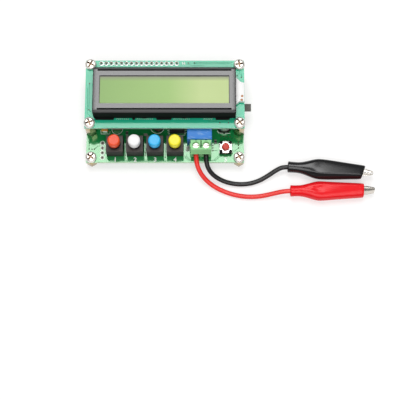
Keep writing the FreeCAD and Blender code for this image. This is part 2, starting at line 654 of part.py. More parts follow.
def reference_inductor():
    """A drum coil: two flanges with the winding between them."""
    top = DECK + 7.2
    flanges = [many_sided(COIL_X, COIL_Y, z, z + 1.2, 3.2) for z in (DECK, top - 1.2)]
    return joined(flanges + [many_sided(COIL_X, COIL_Y, DECK + 1, top - 1, 2.8)])


def film_capacitor(x, y):
    return bevelled(centred(x, y, 5.0, 2.6, DECK, DECK + 6.2), DECK + 6.2, 0.4)


CHIP_PARTS = [(11.4, -17.9, 90), (-33.5, 4.0, 0), (-29.5, 4.0, 0), (-19.5, -9.6, 90), (-10.0, -10.4, 0),
              (25.6, -14.2, 90), (15.0, -4.0, 0), (15.0, -1.6, 0), (20.0, -4.0, 90), (-9.0, 4.5, 0),
              (-6.0, 4.5, 0)]


def chip_part(x, y, turn):
    body = centred(x, y, 2.0, 1.25, DECK, DECK + 0.55)
    body.rotate(V(x, y, 0), V(0, 0, 1), turn)
    return body


def chip_passives():
    films = [film_capacitor(x, y) for x, y in FILM_PLACES]
    return group(films + [chip_part(*place) for place in CHIP_PARTS])


# Clips. Each is drawn along U from its pivot, jaws forward, V across and W along the pivot pin,
# then rolled about U, turned and set down so that its boot rests on the surface.

BOOT_BACK = -24.4
BOOT_SECTIONS = [(BOOT_BACK, 2.2, 2.2, 1.5), (-18.0, 2.2, 2.2, 1.5), (-9.5, 4.8, 3.3, 2.0),
                 (-6.0, 4.85, 3.35, 2.0), (14.5, 3.3, 3.2, 1.7)]
LEAD_END = -20.6
LEAD_ENTRY = -26.4
STRAND_END = -15.5
JAW_TIP = 19.0
TOOTH_PITCH = 1.7
TEETH = 7
CLIPS = {"red": {"entry": (62.5, -39.3), "yaw": 0.6, "roll": -14.0},
         "black": {"entry": (62.1, -26.6), "yaw": -4.5, "roll": 14.0}}
MOVING_WIDTH = JAW_WIDTH - 2 * JAW_SHEET - 2 * JAW_PLAY


def corner_points(v, w, radius):
    """A rectangle of half sizes v and w, with each corner turned in two steps."""
    bend = radius * (1 - math.sqrt(0.5))
    quarter = [(v, w - radius), (v - bend, w - bend), (v - radius, w)]
    upper = quarter + [(-a, b) for a, b in reversed(quarter)]
    return upper + [(-a, -b) for a, b in upper]


def boot_rest_height(roll):
    """Height of the clip's axis when the rolled boot lies on the surface."""
    tilt = math.radians(roll)
    depths = [-(a * math.sin(tilt) + b * math.cos(tilt))
              for _, v, w, radius in BOOT_SECTIONS for a, b in corner_points(v, w, radius)]
    return max(depths)


def clip_placement(name):
    clip = CLIPS[name]
    turn = FreeCAD.Rotation(V(0, 0, 1), clip["yaw"]).multiply(FreeCAD.Rotation(V(1, 0, 0), clip["roll"]))
    along = turn.multVec(V(1, 0, 0))
    entry = V(clip["entry"][0], clip["entry"][1], boot_rest_height(clip["roll"]))
    return FreeCAD.Placement(entry - along * BOOT_BACK, turn)


def placed(shape, name):
    shape.Placement = clip_placement(name)
    return shape


def boot_solid(sections):
    """A solid of flat panels through a row of sections."""
    rings = [[V(u, a, b) for a, b in corner_points(v, w, radius)] for u, v, w, radius in sections]
    panels = [rings[0], rings[-1]]
    for near, far in zip(rings, rings[1:]):
        panels += [[near[i - 1], near[i], far[i], far[i - 1]] for i in range(len(near))]
    return panelled(panels)


def boot(name):
    """A hollow soft sleeve: narrow round the lead, wide over the handles, open at the jaws."""
    inside = [(u, v - BOOT_WALL, w - BOOT_WALL, r - BOOT_WALL / 3) for u, v, w, r in BOOT_SECTIONS]
    inside[0] = (BOOT_BACK - 1,) + inside[0][1:]
    inside[-1] = (BOOT_SECTIONS[-1][0] + 1,) + inside[-1][1:]
    return placed(boot_solid(BOOT_SECTIONS).cut(boot_solid(inside)), name)


def jaw_outline(side, tail):
    """Side view of a jaw: spine, handle, ear round the pivot and a row of teeth. Side is -1 or 1."""
    points = [(JAW_TIP, 0.1), (JAW_TIP - 0.3, 0.9), (15.5, 1.6), (7.0, 2.0), (0.0, 2.45), (-9.6, 3.3)]
    points += [(-17.4, 1.25), (-17.4, 0.75), (-10.4, 2.4)] if tail else [(-10.6, 3.15), (-10.6, 2.3)]
    points += [(-4.0, 1.6), (-1.7, -0.6), (-0.8, -1.5), (0.8, -1.5), (1.7, -0.6), (4.2, 0.45)]
    first = JAW_TIP - 1.2 - TEETH * TOOTH_PITCH
    for i in range(TEETH):
        u = first + i * TOOTH_PITCH
        points += [(u, 0.5), (u + TOOTH_PITCH / 2, 0.05)]
    points.append((JAW_TIP - 1.0, 0.5))
    return [(u, side * v) for u, v in points]


def taper(width):
    """Plan of a jaw's width: parallel at the pivot, drawn in towards the tip and along the handle."""
    half = width / 2
    edge = [(-20, half - 1.15), (-16, half - 1.15), (-12, half - 0.85), (-9, half - 0.3), (-5, half),
            (5, half), (JAW_TIP + 1, half - 0.35)]
    plan = edge + [(u, -w) for u, w in reversed(edge)]
    return prism([(u, -10, w) for u, w in plan], (0, 20, 0))


def jaw(side, width, tail):
    """A folded sheet-metal channel with both cheeks standing on its spine."""
    outline = jaw_outline(side, tail)
    solid = prism([(u, v, -width / 2) for u, v in outline], (0, 0, width)).common(taper(width))
    hollow_width = width - 2 * JAW_SHEET
    shifted = [(u, v - side * JAW_SHEET, -hollow_width / 2) for u, v in outline]
    hollow = prism(shifted, (0, 0, hollow_width)).common(taper(hollow_width))
    return solid.cut(hollow)


def fixed_jaw(name):
    hole = hidden_hole(0, 0, -JAW_WIDTH, JAW_WIDTH, PIVOT_RADIUS + 0.01)
    return placed(jaw(-1, JAW_WIDTH, True).cut(hole), name)


def moving_jaw(name):
    hole = rod(0, 0, -JAW_WIDTH, JAW_WIDTH, PIVOT_RADIUS + 0.05)
    return placed(jaw(1, MOVING_WIDTH, False).cut(hole), name)


def pivot_pin(name):
    """A rivet: a plain shank with a flat head at each end."""
    seat = JAW_WIDTH / 2 + 0.01
    top = seat + 0.27
    heads = [many_sided(0, 0, seat, top, 1.1), many_sided(0, 0, -top, -seat, 1.1)]
    return placed(joined(heads + [rod(0, 0, -seat, seat, PIVOT_RADIUS)]), name)


def clip_spring(name):
    half = MOVING_WIDTH / 2 - JAW_SHEET - 0.15
    coil = many_sided(0, 0, -half, half, 1.5)
    return placed(coil.cut(hidden_hole(0, 0, -half - 1, half + 1, PIVOT_RADIUS + 0.2)), name)


# Test leads: eight-sided tubes of straight runs joined by arcs, each from its terminal to its clip

LEAD_START = TERMINAL_FRONT + 1.3
LEAD_ROUTES = {
    "red": [(15.8, -24.8, 8.75), (16.7, -28.3, 7.4), (18.7, -31.5, 5.2), (21.7, -34.4, 3.1),
            (25.7, -37.0, 1.75), (30.6, -39.3, 1.35), (36.1, -41.0, 1.3), (42.0, -41.8, 1.35),
            (48.0, -41.6, 1.5), (54.0, -40.5, 2.4)],
    "black": [(20.8, -24.5, 8.75), (21.5, -27.8, 7.3), (23.6, -30.6, 5.0), (27.2, -32.8, 3.0),
              (31.8, -34.4, 1.7), (37.2, -35.2, 1.35), (42.6, -34.9, 1.3), (47.6, -33.4, 1.5),
              (52.0, -31.0, 2.1), (56.0, -28.4, 3.1)]}
LEAD_POLES = dict(zip(("red", "black"), TERMINAL_POLES))
LEAD_SIDES = 8


def lead_points(name):
    place = clip_placement(name)
    start = V(LEAD_POLES[name], LEAD_START, WIRE_Z)
    ends = [place.multVec(V(LEAD_ENTRY, 0, 0)), place.multVec(V(LEAD_END, 0, 0))]
    return [start] + [V(*p) for p in LEAD_ROUTES[name]] + ends


def lead_path(points):
    """Straight runs with an arc at each point, as large as its two runs allow."""
    edges = []
    radii = []
    here = points[0]
    for before, corner, after in zip(points, points[1:], points[2:]):
        into = (corner - before).normalize()
        out = (after - corner).normalize()
        half_turn = into.getAngle(out) / 2
        setback = 0.45 * min((corner - before).Length, (after - corner).Length)
        radius = setback / math.tan(half_turn)
        inward = (out - into).normalize()
        middle = corner + inward * (radius / math.cos(half_turn) - radius)
        edges.append(Part.LineSegment(here, corner - into * setback).toShape())
        here = corner + out * setback
        edges.append(Part.Arc(corner - into * setback, middle, here).toShape())
        radii.append(round(radius, 1))
    edges.append(Part.LineSegment(here, points[-1]).toShape())
    return Part.Wire(edges), radii


def lead_ring(centre, way, radius):
    """A section of the lead, square to the way it runs."""
    across = way.cross(V(0, 0, 1)).normalize() * radius
    step = FreeCAD.Rotation(way, 360 / LEAD_SIDES)
    points = [centre + across]
    for _ in range(LEAD_SIDES - 1):
        across = step.multVec(across)
        points.append(centre + across)
    return Part.makePolygon(points + points[:1])


def lead(name):
    points = lead_points(name)
    path, radii = lead_path(points)
    start_way = (points[1] - points[0]).normalize()
    end_way = (points[-1] - points[-2]).normalize()
    tube = path.makePipeShell([lead_ring(points[0], start_way, LEAD_RADIUS)], True, False)
    section = LEAD_SIDES / 2 * LEAD_RADIUS ** 2 * math.sin(2 * math.pi / LEAD_SIDES)
    ratio = tube.Volume / (section * path.Length)
    print(name, "lead", round(path.Length, 1), "mm, radii", radii, "volume ratio", round(ratio, 4))
    bare = Part.Face(lead_ring(points[0], V(0, 1, 0), STRAND_RADIUS)).extrude(V(0, 3.2, 0))
    crimp_length = STRAND_END - LEAD_END
    crimped = Part.Face(lead_ring(points[-1], end_way, STRAND_RADIUS)).extrude(end_way * crimp_length)
    return tube.multiFuse([bare, crimped])


# Every piece, each under its own name

NODES = {
    "main_board": main_board(),
    "solder_joints": solder_joints(),
    "feet": group([foot(x, y) for x, y in FOOT_PLACES]),
    "display_standoffs": group([standoff(x, y) for x, y in DISPLAY_PLACES]),
    "stud_nuts": group([nut(x, y) for x, y in NUT_PLACES]),
    "pan_screws": pan_screws(),
    "display_board": display_board(),
    "display_bezel": display_bezel(),
    "display_glass": display_glass(),
    "backlight": backlight(),
    "contact_strips": contact_strips(),
    "controller_blobs": controller_blobs(),
    "pin_header": pin_header(),
    "header_socket": header_socket(),
    "key_housings": group([key_housing(x) for x in KEY_X]),
    "test_switch_base": test_switch_base(),
    "test_switch_cover": test_switch_cover(),
    "test_switch_plunger": test_switch_plunger(),
    "terminal_housing": terminal_housing(),
    "terminal_contacts": terminal_contacts(),
    "relay": relay(),
    "power_switch_body": power_switch_body(),
    "power_switch_frame": power_switch_frame(),
    "power_switch_slider": power_switch_slider(),
    "usb_shell": usb_shell(),
    "usb_insert": usb_insert(),
    "microcontroller": microcontroller(),
    "electrolytic_capacitor": electrolytic_capacitor(),
    "tantalum_capacitor": tantalum_capacitor(),
    "crystal": crystal(),
    "reference_inductor": reference_inductor(),
    "chip_passives": chip_passives(),
}
for number, key_x in enumerate(KEY_X, 1):
    NODES[f"key_{number}_plunger"] = key_plunger(key_x)
    NODES[f"key_{number}_spring"] = key_spring(key_x)
    NODES[f"key_{number}_cap"] = key_cap(key_x)
for number, pole in enumerate(TERMINAL_POLES, 1):
    NODES[f"terminal_clamp_{number}"] = terminal_clamp(pole)
    NODES[f"terminal_screw_{number}"] = terminal_screw(pole)
for colour in CLIPS:
    NODES[f"{colour}_lead"] = lead(colour)
    NODES[f"{colour}_fixed_jaw"] = fixed_jaw(colour)
    NODES[f"{colour}_moving_jaw"] = moving_jaw(colour)
    NODES[f"{colour}_pivot_pin"] = pivot_pin(colour)
    NODES[f"{colour}_clip_spring"] = clip_spring(colour)
    NODES[f"{colour}_boot"] = boot(colour)

os.makedirs("parts", exist_ok=True)
for node, shape in NODES.items():
    shape.exportStep(f"parts/{node}.step")
    if not shape.isValid() or any(solid.Volume <= 0 for solid in shape.Solids):
        print("check the shape of", node)
print(len(NODES), "pieces")
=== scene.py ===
# %% [markdown]
# # A component tester, dressed for its portrait
# The imported model gives every piece its place, in metres. This script keeps that frame and gives the pieces
# their edges, finishes and small details.

# %% Load the frame
import math

import bmesh
import bpy
from mathutils import Matrix, Vector


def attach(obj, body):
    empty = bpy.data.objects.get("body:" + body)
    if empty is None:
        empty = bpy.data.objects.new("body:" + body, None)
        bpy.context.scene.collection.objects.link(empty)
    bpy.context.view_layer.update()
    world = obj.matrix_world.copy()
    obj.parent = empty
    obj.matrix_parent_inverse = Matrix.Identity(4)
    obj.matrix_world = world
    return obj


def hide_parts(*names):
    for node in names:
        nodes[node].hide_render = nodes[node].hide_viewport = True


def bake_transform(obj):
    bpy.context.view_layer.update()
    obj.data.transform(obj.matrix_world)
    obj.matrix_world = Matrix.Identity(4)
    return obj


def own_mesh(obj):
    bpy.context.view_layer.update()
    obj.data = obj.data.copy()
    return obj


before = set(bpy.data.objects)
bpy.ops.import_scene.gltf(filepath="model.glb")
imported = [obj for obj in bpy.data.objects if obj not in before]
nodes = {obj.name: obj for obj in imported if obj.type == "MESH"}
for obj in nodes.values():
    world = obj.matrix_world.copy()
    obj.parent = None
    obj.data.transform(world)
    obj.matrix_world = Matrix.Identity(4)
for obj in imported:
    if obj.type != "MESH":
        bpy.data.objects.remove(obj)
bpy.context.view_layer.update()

scene = bpy.context.scene
scene.view_settings.view_transform = "Standard"
MM = 0.001
# Heights of the upper faces of the two boards, in millimetres.
DECK, DISPLAY_TOP = 6.6, 19.2

# %% [markdown]
# The camera stands in front of the tester and looks steeply down. A long lens far away keeps the boards'
# edges nearly parallel, as the photograph shows them.

# %% Camera
VIEW_TILT = math.radians(74.68)
VIEW_TARGET = Vector((17.7, -48.25, 19.2)) * MM
VIEW_DISTANCE = 0.5465


def in_scene(name, data):
    """A new object of the scene."""
    made = bpy.data.objects.new(name, data)
    scene.collection.objects.link(made)
    return made


camera = in_scene("photo_camera", bpy.data.cameras.new("photo_camera"))
camera.data.lens, camera.data.sensor_width = 100.5, 36
camera.location = VIEW_TARGET + VIEW_DISTANCE * Vector((0, -math.cos(VIEW_TILT), math.sin(VIEW_TILT)))
camera.rotation_euler = (math.pi / 2 - VIEW_TILT, 0, 0)
scene.camera = camera
print("camera at", [round(c, 4) for c in camera.location])

# %% [markdown]
# The test leads come next, since they reach furthest. A lead is a limp wire, so a spline that is pulled
# towards a few points gives its lazy curve better than straight runs would. The last two points lie on the
# axis of the clip that the lead goes into.

# %% Test leads
# Each clip: its pivot in millimetres, then its turn on the table and its roll in degrees.
CLIPS = {"red": ((86.8987, -39.0445, 3.94), 0.6, -14),
         "black": ((86.4248, -28.5144, 3.94), -4.5, 14)}
LEAD_START = {"red": (15.66, -20.8, 8.9), "black": (20.74, -20.8, 8.9)}
LEAD_ROUTES = {
    "red": [
        (15.8, -24.8, 8.75), (16.7, -28.3, 7.4), (18.7, -31.5, 5.2), (21.7, -34.4, 3.1), (25.7, -37, 1.75),
        (30.6, -39.3, 1.35), (36.1, -41, 1.3), (42, -41.8, 1.35), (48, -41.6, 1.5), (54, -40.5, 2.4)],
    "black": [
        (20.8, -24.5, 8.75), (21.5, -27.8, 7.3), (23.6, -30.6, 5), (27.2, -32.8, 3), (31.8, -34.4, 1.7),
        (37.2, -35.2, 1.35), (42.6, -34.9, 1.3), (47.6, -33.4, 1.5), (52, -31, 2.1), (56, -28.4, 3.1)]}
LEAD_IN_CLIP = (-26.4, -20.6)
LEAD_RADIUS = 1.2


def clip_frame(colour):
    """The clip's own axes: forward along the jaws, across them, and along the pivot pin."""
    pivot, yaw, roll = CLIPS[colour]
    turn = Matrix.Rotation(math.radians(yaw), 4, "Z") @ Matrix.Rotation(math.radians(roll), 4, "X")
    return Matrix.Translation(Vector(pivot) * MM) @ turn


def round_curve(name, radius, smoothness):
    """A curve that will be drawn as a closed round bar."""
    curve = bpy.data.curves.new(name, "CURVE")
    curve.dimensions = "3D"
    curve.bevel_depth = radius
    curve.bevel_resolution = smoothness
    curve.use_fill_caps = True
    return curve


def test_lead(colour):
    axes = clip_frame(colour)
    route = [Vector(p) * MM for p in [LEAD_START[colour]] + LEAD_ROUTES[colour]]
    route += [axes @ Vector((u * MM, 0, 0)) for u in LEAD_IN_CLIP]
    curve = round_curve(f"{colour}_test_lead", 1.0, 5)
    spline = curve.splines.new("NURBS")
    spline.points.add(len(route) - 1)
    for point, place in zip(spline.points, route):
        point.co = (*place, 1)
        point.radius = LEAD_RADIUS * MM
    spline.order_u = 3
    spline.use_endpoint_u = True
    spline.resolution_u = 10
    made = in_scene(curve.name, curve)
    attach(made, "tester")
    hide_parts(f"{colour}_lead")
    return made


leads = {colour: test_lead(colour) for colour in CLIPS}
print("leads:", list(leads))

# %% [markdown]
# A white table top and two soft lamps. The rear lamp hangs where level, glossy surfaces mirror it towards the
# camera. It gives the boards their milky sheen and the display frame its grey one. The front lamp lights the
# faces that look at the camera, and draws the bright line along the boots. For rays that come straight from
# the camera, or off metal and glass, the table top adds some light of its own, so that it is white.

# %% Table top, lamps and sky
def node(tree, kind, inputs=None, **settings):
    """A new node with its settings. Each input is a plain value, or a socket to link to it."""
    made = tree.nodes.new(kind)
    for label, value in settings.items():
        setattr(made, label, value)
    for label, value in (inputs or {}).items():
        if isinstance(value, bpy.types.NodeSocket):
            tree.links.new(value, made.inputs[label])
        else:
            made.inputs[label].default_value = value
    return made


def maths(tree, operation, first, second):
    return node(tree, "ShaderNodeMath", {0: first, 1: second}, operation=operation).outputs[0]


def solid(bm, name):
    """A new object from a bmesh, which is given up."""
    mesh = bpy.data.meshes.new(name)
    bm.to_mesh(mesh)
    bm.free()
    return in_scene(name, mesh)


paper = bpy.data.materials.new("white_table_top")
paper.use_nodes = True
tree = paper.node_tree
tree.nodes.clear()
path = node(tree, "ShaderNodeLightPath").outputs
seen = maths(tree, "MAXIMUM", path["Is Camera Ray"], path["Is Glossy Ray"])
seen = maths(tree, "MAXIMUM", seen, path["Is Transmission Ray"])
plain = node(tree, "ShaderNodeBsdfDiffuse", {"Color": (0.86, 0.86, 0.85, 1)})
shaded = node(tree, "ShaderNodeBsdfDiffuse", {"Color": (0.55, 0.545, 0.54, 1)})
glow = node(tree, "ShaderNodeEmission", {"Strength": 0.52})
lit = node(tree, "ShaderNodeAddShader", {0: shaded.outputs[0], 1: glow.outputs[0]})
either = node(tree, "ShaderNodeMixShader", {0: seen, 1: plain.outputs[0], 2: lit.outputs[0]})
node(tree, "ShaderNodeOutputMaterial", {"Surface": either.outputs[0]})

TABLE_HALF, TABLE_DROP = 1.5, 0.0001
bm = bmesh.new()
bmesh.ops.create_grid(bm, x_segments=8, y_segments=8, size=TABLE_HALF)
table = solid(bm, "table_top")
table.data.materials.append(paper)
table.location.z = -TABLE_DROP

LAMP_AIM = Vector((0.01, 0, 0.01))


def soft_lamp(name, way, distance, size, radiance):
    """A square lamp that shines on the tester from a direction."""
    data = bpy.data.lights.new(name, "AREA")
    data.shape = "SQUARE"
    data.size = size
    data.energy = radiance * math.pi * size ** 2
    made = in_scene(name, data)
    way = Vector(way).normalized()
    made.location = LAMP_AIM + distance * way
    made.rotation_euler = way.to_track_quat("Z", "Y").to_euler()


soft_lamp("rear_lamp", (-0.035, 0.27, 0.77), 0.82, 0.47, 5.4)
soft_lamp("front_lamp", (0.08, -0.5, 0.87), 0.9, 0.6, 3.3)

sky = bpy.data.worlds.new("plain_sky")
sky.use_nodes = True
scene.world = sky
tree = sky.node_tree
seen = node(tree, "ShaderNodeLightPath").outputs["Is Camera Ray"]
sky_level = node(tree, "ShaderNodeMapRange", {"Value": seen, "To Min": 0.24, "To Max": 1.0})
sky_light = tree.nodes["Background"]
sky_light.inputs["Color"].default_value = (1, 1, 1, 1)
tree.links.new(sky_level.outputs["Result"], sky_light.inputs["Strength"])
print("lamps:", [light.name for light in bpy.data.lights])

# %% [markdown]
# Two effects are used by many finishes, and a third by a worn case, so each is built once as a node group.
# Moulded skin gives plastic and rubber their cloudy colour, uneven gloss and fine grain. Drawn metal has the
# fine lines that rolling and brushing leave. Scuffs are a few thin, straight rubs.

# %% Shared effects
def effect_group(name, inputs, outputs):
    """A new node group with its sockets, the values given to it, and the place on the object."""
    group = bpy.data.node_groups.new(name, "ShaderNodeTree")
    for label, kind, value in inputs:
        group.interface.new_socket(label, in_out="INPUT", socket_type=kind).default_value = value
    for label, kind in outputs:
        group.interface.new_socket(label, in_out="OUTPUT", socket_type=kind)
    place = node(group, "ShaderNodeTexCoord").outputs["Object"]
    return group, node(group, "NodeGroupInput").outputs, place


def noise(tree, place, scale, detail=3.0):
    inputs = {"Vector": place, "Scale": scale, "Detail": detail}
    return node(tree, "ShaderNodeTexNoise", inputs).outputs["Fac"]


def spread(tree, fac, middle, width):
    """A noise of 0 to 1 as a value of middle, plus or minus width."""
    swing = maths(tree, "MULTIPLY", maths(tree, "SUBTRACT", fac, 0.5), maths(tree, "MULTIPLY", width, 2.0))
    return maths(tree, "ADD", swing, middle)


def ramp(tree, value, low, high):
    """0 at or below low, 1 at or above high."""
    inputs = {"Value": value, "From Min": low, "From Max": high}
    return node(tree, "ShaderNodeMapRange", inputs).outputs["Result"]


def mixed(tree, share, first, second, blend="MIX"):
    """From the first colour to the second by a share; each is a socket or a plain colour."""
    first, second = [(*c, 1) if isinstance(c, tuple) else c for c in (first, second)]
    inputs = {"Factor": share, "A": first, "B": second}
    return node(tree, "ShaderNodeMix", inputs, data_type="RGBA", blend_type=blend).outputs["Result"]


def stretched(tree, place, amount):
    return node(tree, "ShaderNodeVectorMath", {0: place, 1: amount}, operation="MULTIPLY").outputs[0]


def surface(tree, given, cloud, gloss, swing, relief, depth):
    """Put out the noises for the colour, the gloss and the relief of a surface."""
    level = spread(tree, cloud, 1.0, given["Clouding"])
    normal = node(tree, "ShaderNodeBump", {"Height": relief, "Distance": depth}).outputs["Normal"]
    node(tree, "NodeGroupOutput", {
        "Colour": mixed(tree, 1.0, given["Colour"], level, "MULTIPLY"),
        "Roughness": spread(tree, gloss, given["Roughness"], swing), "Normal": normal})


COLOUR, VALUE, VECTOR = "NodeSocketColor", "NodeSocketFloat", "NodeSocketVector"
SKIN_OUT = [("Colour", COLOUR), ("Roughness", VALUE), ("Normal", VECTOR)]
tree, given, place = effect_group("moulded_skin", [
    ("Colour", COLOUR, (0.5, 0.5, 0.5, 1)), ("Clouding", VALUE, 0.08), ("Cloud Scale", VALUE, 150.0),
    ("Roughness", VALUE, 0.4), ("Gloss Spread", VALUE, 0.08), ("Grain Scale", VALUE, 2500.0),
    ("Grain Depth", VALUE, 1e-5)], SKIN_OUT)
cloud = noise(tree, place, given["Cloud Scale"])
dull = noise(tree, place, 420.0, 4.0)
grain = noise(tree, place, given["Grain Scale"], 2.0)
surface(tree, given, cloud, dull, given["Gloss Spread"], grain, given["Grain Depth"])

tree, given, place = effect_group("drawn_metal", [
    ("Colour", COLOUR, (0.7, 0.7, 0.7, 1)), ("Clouding", VALUE, 0.12), ("Roughness", VALUE, 0.25),
    ("Line Stretch", VECTOR, (60.0, 2500.0, 2500.0)), ("Line Depth", VALUE, 6e-6)], SKIN_OUT)
lines = noise(tree, stretched(tree, place, given["Line Stretch"]), 1.0, 2.0)
stain = noise(tree, place, 260.0)
surface(tree, given, stain, stain, 0.08, lines, given["Line Depth"])

tree, given, place = effect_group("scuffs", [
    ("Turn", VALUE, 0.5), ("Stretch", VECTOR, (90.0, 1500.0, 300.0)), ("Amount", VALUE, 0.62)],
    [("Mask", VALUE)])
swung = node(tree, "ShaderNodeVectorRotate", {"Vector": place, "Angle": given["Turn"]},
             rotation_type="Z_AXIS")
rubs = noise(tree, stretched(tree, swung.outputs[0], given["Stretch"]), 1.0)
full = maths(tree, "ADD", given["Amount"], 0.08)
node(tree, "NodeGroupOutput", {"Mask": ramp(tree, rubs, given["Amount"], full)})
print("effects:", bpy.data.node_groups.keys())

# %% [markdown]
# A finish is a material with one of those effects and its own values. Numbers that are the same all over the
# surface are set on the shader itself.

# %% Finishes
SHADER_INPUTS = {"specular": "Specular IOR Level", "ior": "IOR"}
look = {}


def finish(name, group, colour, roughness, **values):
    """A new material, kept by name, whose colour, roughness and fine surface come from an effect."""
    look[name] = material = bpy.data.materials.new(name)
    material.use_nodes = True
    tree = material.node_tree
    shader = tree.nodes["Principled BSDF"]
    effect = node(tree, "ShaderNodeGroup", {"Colour": (*colour, 1), "Roughness": roughness},
                  node_tree=bpy.data.node_groups[group], name="effect")
    for key, value in values.items():
        label = SHADER_INPUTS.get(key, key.replace("_", " ").title())
        target = effect if label in effect.inputs else shader
        target.inputs[label].default_value = value
    for source, target in (("Colour", "Base Color"), ("Roughness", "Roughness"), ("Normal", "Normal")):
        tree.links.new(effect.outputs[source], shader.inputs[target])
    return material


def plastic(name, colour, roughness, clouding=0.08, specular=0.5, **values):
    return finish(name, "moulded_skin", colour, roughness, clouding=clouding, specular=specular, **values)


def metal(name, colour, roughness, clouding=0.12, **values):
    return finish(name, "drawn_metal", colour, roughness, clouding=clouding, metallic=1.0, **values)


def plastics(rows, **shared):
    """One family of plastics; a row is a name, colour, roughness, clouding and specular level."""
    for row in rows:
        plastic(*row, **shared)


plastics([
    ("rivet_black", (0.01, 0.009, 0.009), 0.55, 0.15, 0.15),
    ("matt_black", (0.008, 0.008, 0.008), 0.6, 0.08, 0.06),
    ("knob_grey", (0.14, 0.132, 0.122), 0.5, 0.08, 0.25),
    ("collar_black", (0.01, 0.01, 0.011), 0.45, 0.08, 0.2),
    ("button_red", (0.58, 0.05, 0.036), 0.4, 0.06, 0.25),
    ("terminal_green", (0.3, 0.66, 0.305), 0.45, 0.05, 0.12),
    ("seam_dark", (0.02, 0.06, 0.022), 0.7, 0.08, 0.1),
    ("capacitor_orange", (0.8, 0.32, 0.035), 0.35, 0.1),
    ("film_brown", (0.24, 0.062, 0.022), 0.25, 0.1),
    ("chip_part_dark", (0.045, 0.042, 0.042), 0.6, 0.08, 0.2),
    ("chip_part_pale", (0.3, 0.28, 0.24), 0.6, 0.08, 0.2),
    ("ferrite", (0.035, 0.034, 0.034), 0.7, 0.2),
    ("white_plastic", (0.95, 0.95, 0.94), 0.45, 0.01),
    ("contact_rubber", (0.43, 0.24, 0.25), 0.6),
    ("red_wire", (0.86, 0.028, 0.02), 0.34, 0.05),
    ("black_wire", (0.012, 0.012, 0.012), 0.32, 0.1, 0.4),
    # The dark hole colour is painted shade in plated holes and pad dips.
    ("painted_hole_shade", (0.06, 0.03, 0.02), 0.6),
    ("marking_white", (0.88, 0.92, 0.87), 0.6, 0.06)])
plastics([
    ("black_plastic", (0.018, 0.018, 0.02), 0.45, 0.08, 0.3),
    ("key_housing_grey", (0.07, 0.061, 0.057), 0.55, 0.16, 0.25),
    # The side copy of the housing grey is darker: painted shade on the upright faces.
    ("key_housing_painted_shade_side", (0.026, 0.026, 0.024), 0.6, 0.25, 0.2)], grain_depth=2e-5)
plastics([
    ("cap_red", (0.8, 0.075, 0.016), 0.26, 0.05, 0.3),
    ("cap_white", (0.84, 0.84, 0.83), 0.26, 0.02, 0.3),
    ("cap_sky_blue", (0.03, 0.46, 0.84), 0.26, 0.04, 0.32),
    ("cap_yellow", (0.88, 0.79, 0.018), 0.26, 0.04, 0.3)], grain_depth=4e-6)
plastics([
    ("red_rubber", (0.86, 0.008, 0.014), 0.22, 0.05, 0.26),
    ("black_rubber", (0.009, 0.009, 0.01), 0.18, 0.12, 0.5)],
    cloud_scale=220.0, gloss_spread=0.01, grain_depth=5e-7)
FRAME_COAT = {"cloud_scale": 60.0, "gloss_spread": 0.01, "grain_scale": 5000.0, "grain_depth": 1e-6}
plastic("frame_black", (0.008, 0.008, 0.009), 0.27, 0.2, 0.72, ior=1.6, **FRAME_COAT)
plastic("frame_rim", (0.008, 0.008, 0.009), 0.32, 0.2, 0.34, **FRAME_COAT)

# The dark brown steel for recesses and folded sides is painted shade; the pale rim steel is painted highlight.
METALS = [
    ("bright_steel", (0.7, 0.69, 0.67), 0.26), ("screw_steel", (0.78, 0.74, 0.67), 0.36, 0.22),
    ("painted_shade_steel", (0.3, 0.21, 0.15), 0.5), ("painted_highlight_rim_steel", (0.92, 0.9, 0.86), 0.62),
    ("dull_tin", (0.3, 0.29, 0.27), 0.55, 0.2), ("pin_end", (0.16, 0.12, 0.09), 0.5),
    ("can_aluminium", (0.8, 0.8, 0.8), 0.3), ("copper", (0.5, 0.24, 0.12), 0.45)]
for row in METALS:
    metal(*row)
metal("jaw_steel", (0.66, 0.62, 0.56), 0.28, 0.18, line_depth=1e-5)
metal("solder", (0.86, 0.86, 0.85), 0.34, 0.2, line_stretch=(900.0, 900.0, 900.0))
metal("plated_brass", (0.46, 0.36, 0.2), 0.22, line_stretch=(2500.0, 2500.0, 60.0))
print(len(bpy.data.materials), "materials so far")

# %% [markdown]
# A circuit board is a glass-fibre plate under glossy green lacquer. The lacquer stops at the sawn edges,
# where the pale fibre shows, so the finish asks which way the surface faces. The display's board has a
# cooler green.

# %% Board lacquer
def laid_over(material, share, colour):
    """Lay a second colour over a finish, where and as far as a share says."""
    tree = material.node_tree
    both = mixed(tree, share, tree.nodes["effect"].outputs["Colour"], colour)
    tree.links.new(both, tree.nodes["Principled BSDF"].inputs["Base Color"])


def board_lacquer(name, colour, fibre, gloss, **values):
    material = plastic(name, colour, 0.09, clouding=0.08, cloud_scale=90.0, gloss_spread=0.04,
                       grain_scale=1800.0, grain_depth=2e-6, specular=gloss, **values)
    tree = material.node_tree
    normal = node(tree, "ShaderNodeNewGeometry").outputs["Normal"]
    facing_up = node(tree, "ShaderNodeSeparateXYZ", {0: normal}).outputs["Z"]
    sawn = maths(tree, "LESS_THAN", maths(tree, "ABSOLUTE", facing_up, 0.0), 0.5)
    laid_over(material, sawn, fibre)


def dress(name, finish_name):
    """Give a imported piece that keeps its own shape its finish."""
    nodes[name].data.materials.clear()
    nodes[name].data.materials.append(look[finish_name])


board_lacquer("main_board_lacquer", (0.013, 0.25, 0.062), (0.42, 0.62, 0.36), 1.0, ior=1.64,
              specular_tint=(0.74, 1.0, 0.77, 1))
board_lacquer("display_board_lacquer", (0.018, 0.47, 0.265), (0.42, 0.7, 0.54), 0.52)
for board in ("main_board", "display_board"):
    dress(board, f"{board}_lacquer")
print("boards lacquered")

# %% [markdown]
# Helpers make most of the pieces. A block and a spun profile are the two basic shapes. An eased copy takes a
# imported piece, merges its loose triangles back into flat faces and rounds its sharp edges a little, because
# no real edge is perfectly sharp and the rounding is what catches the light.

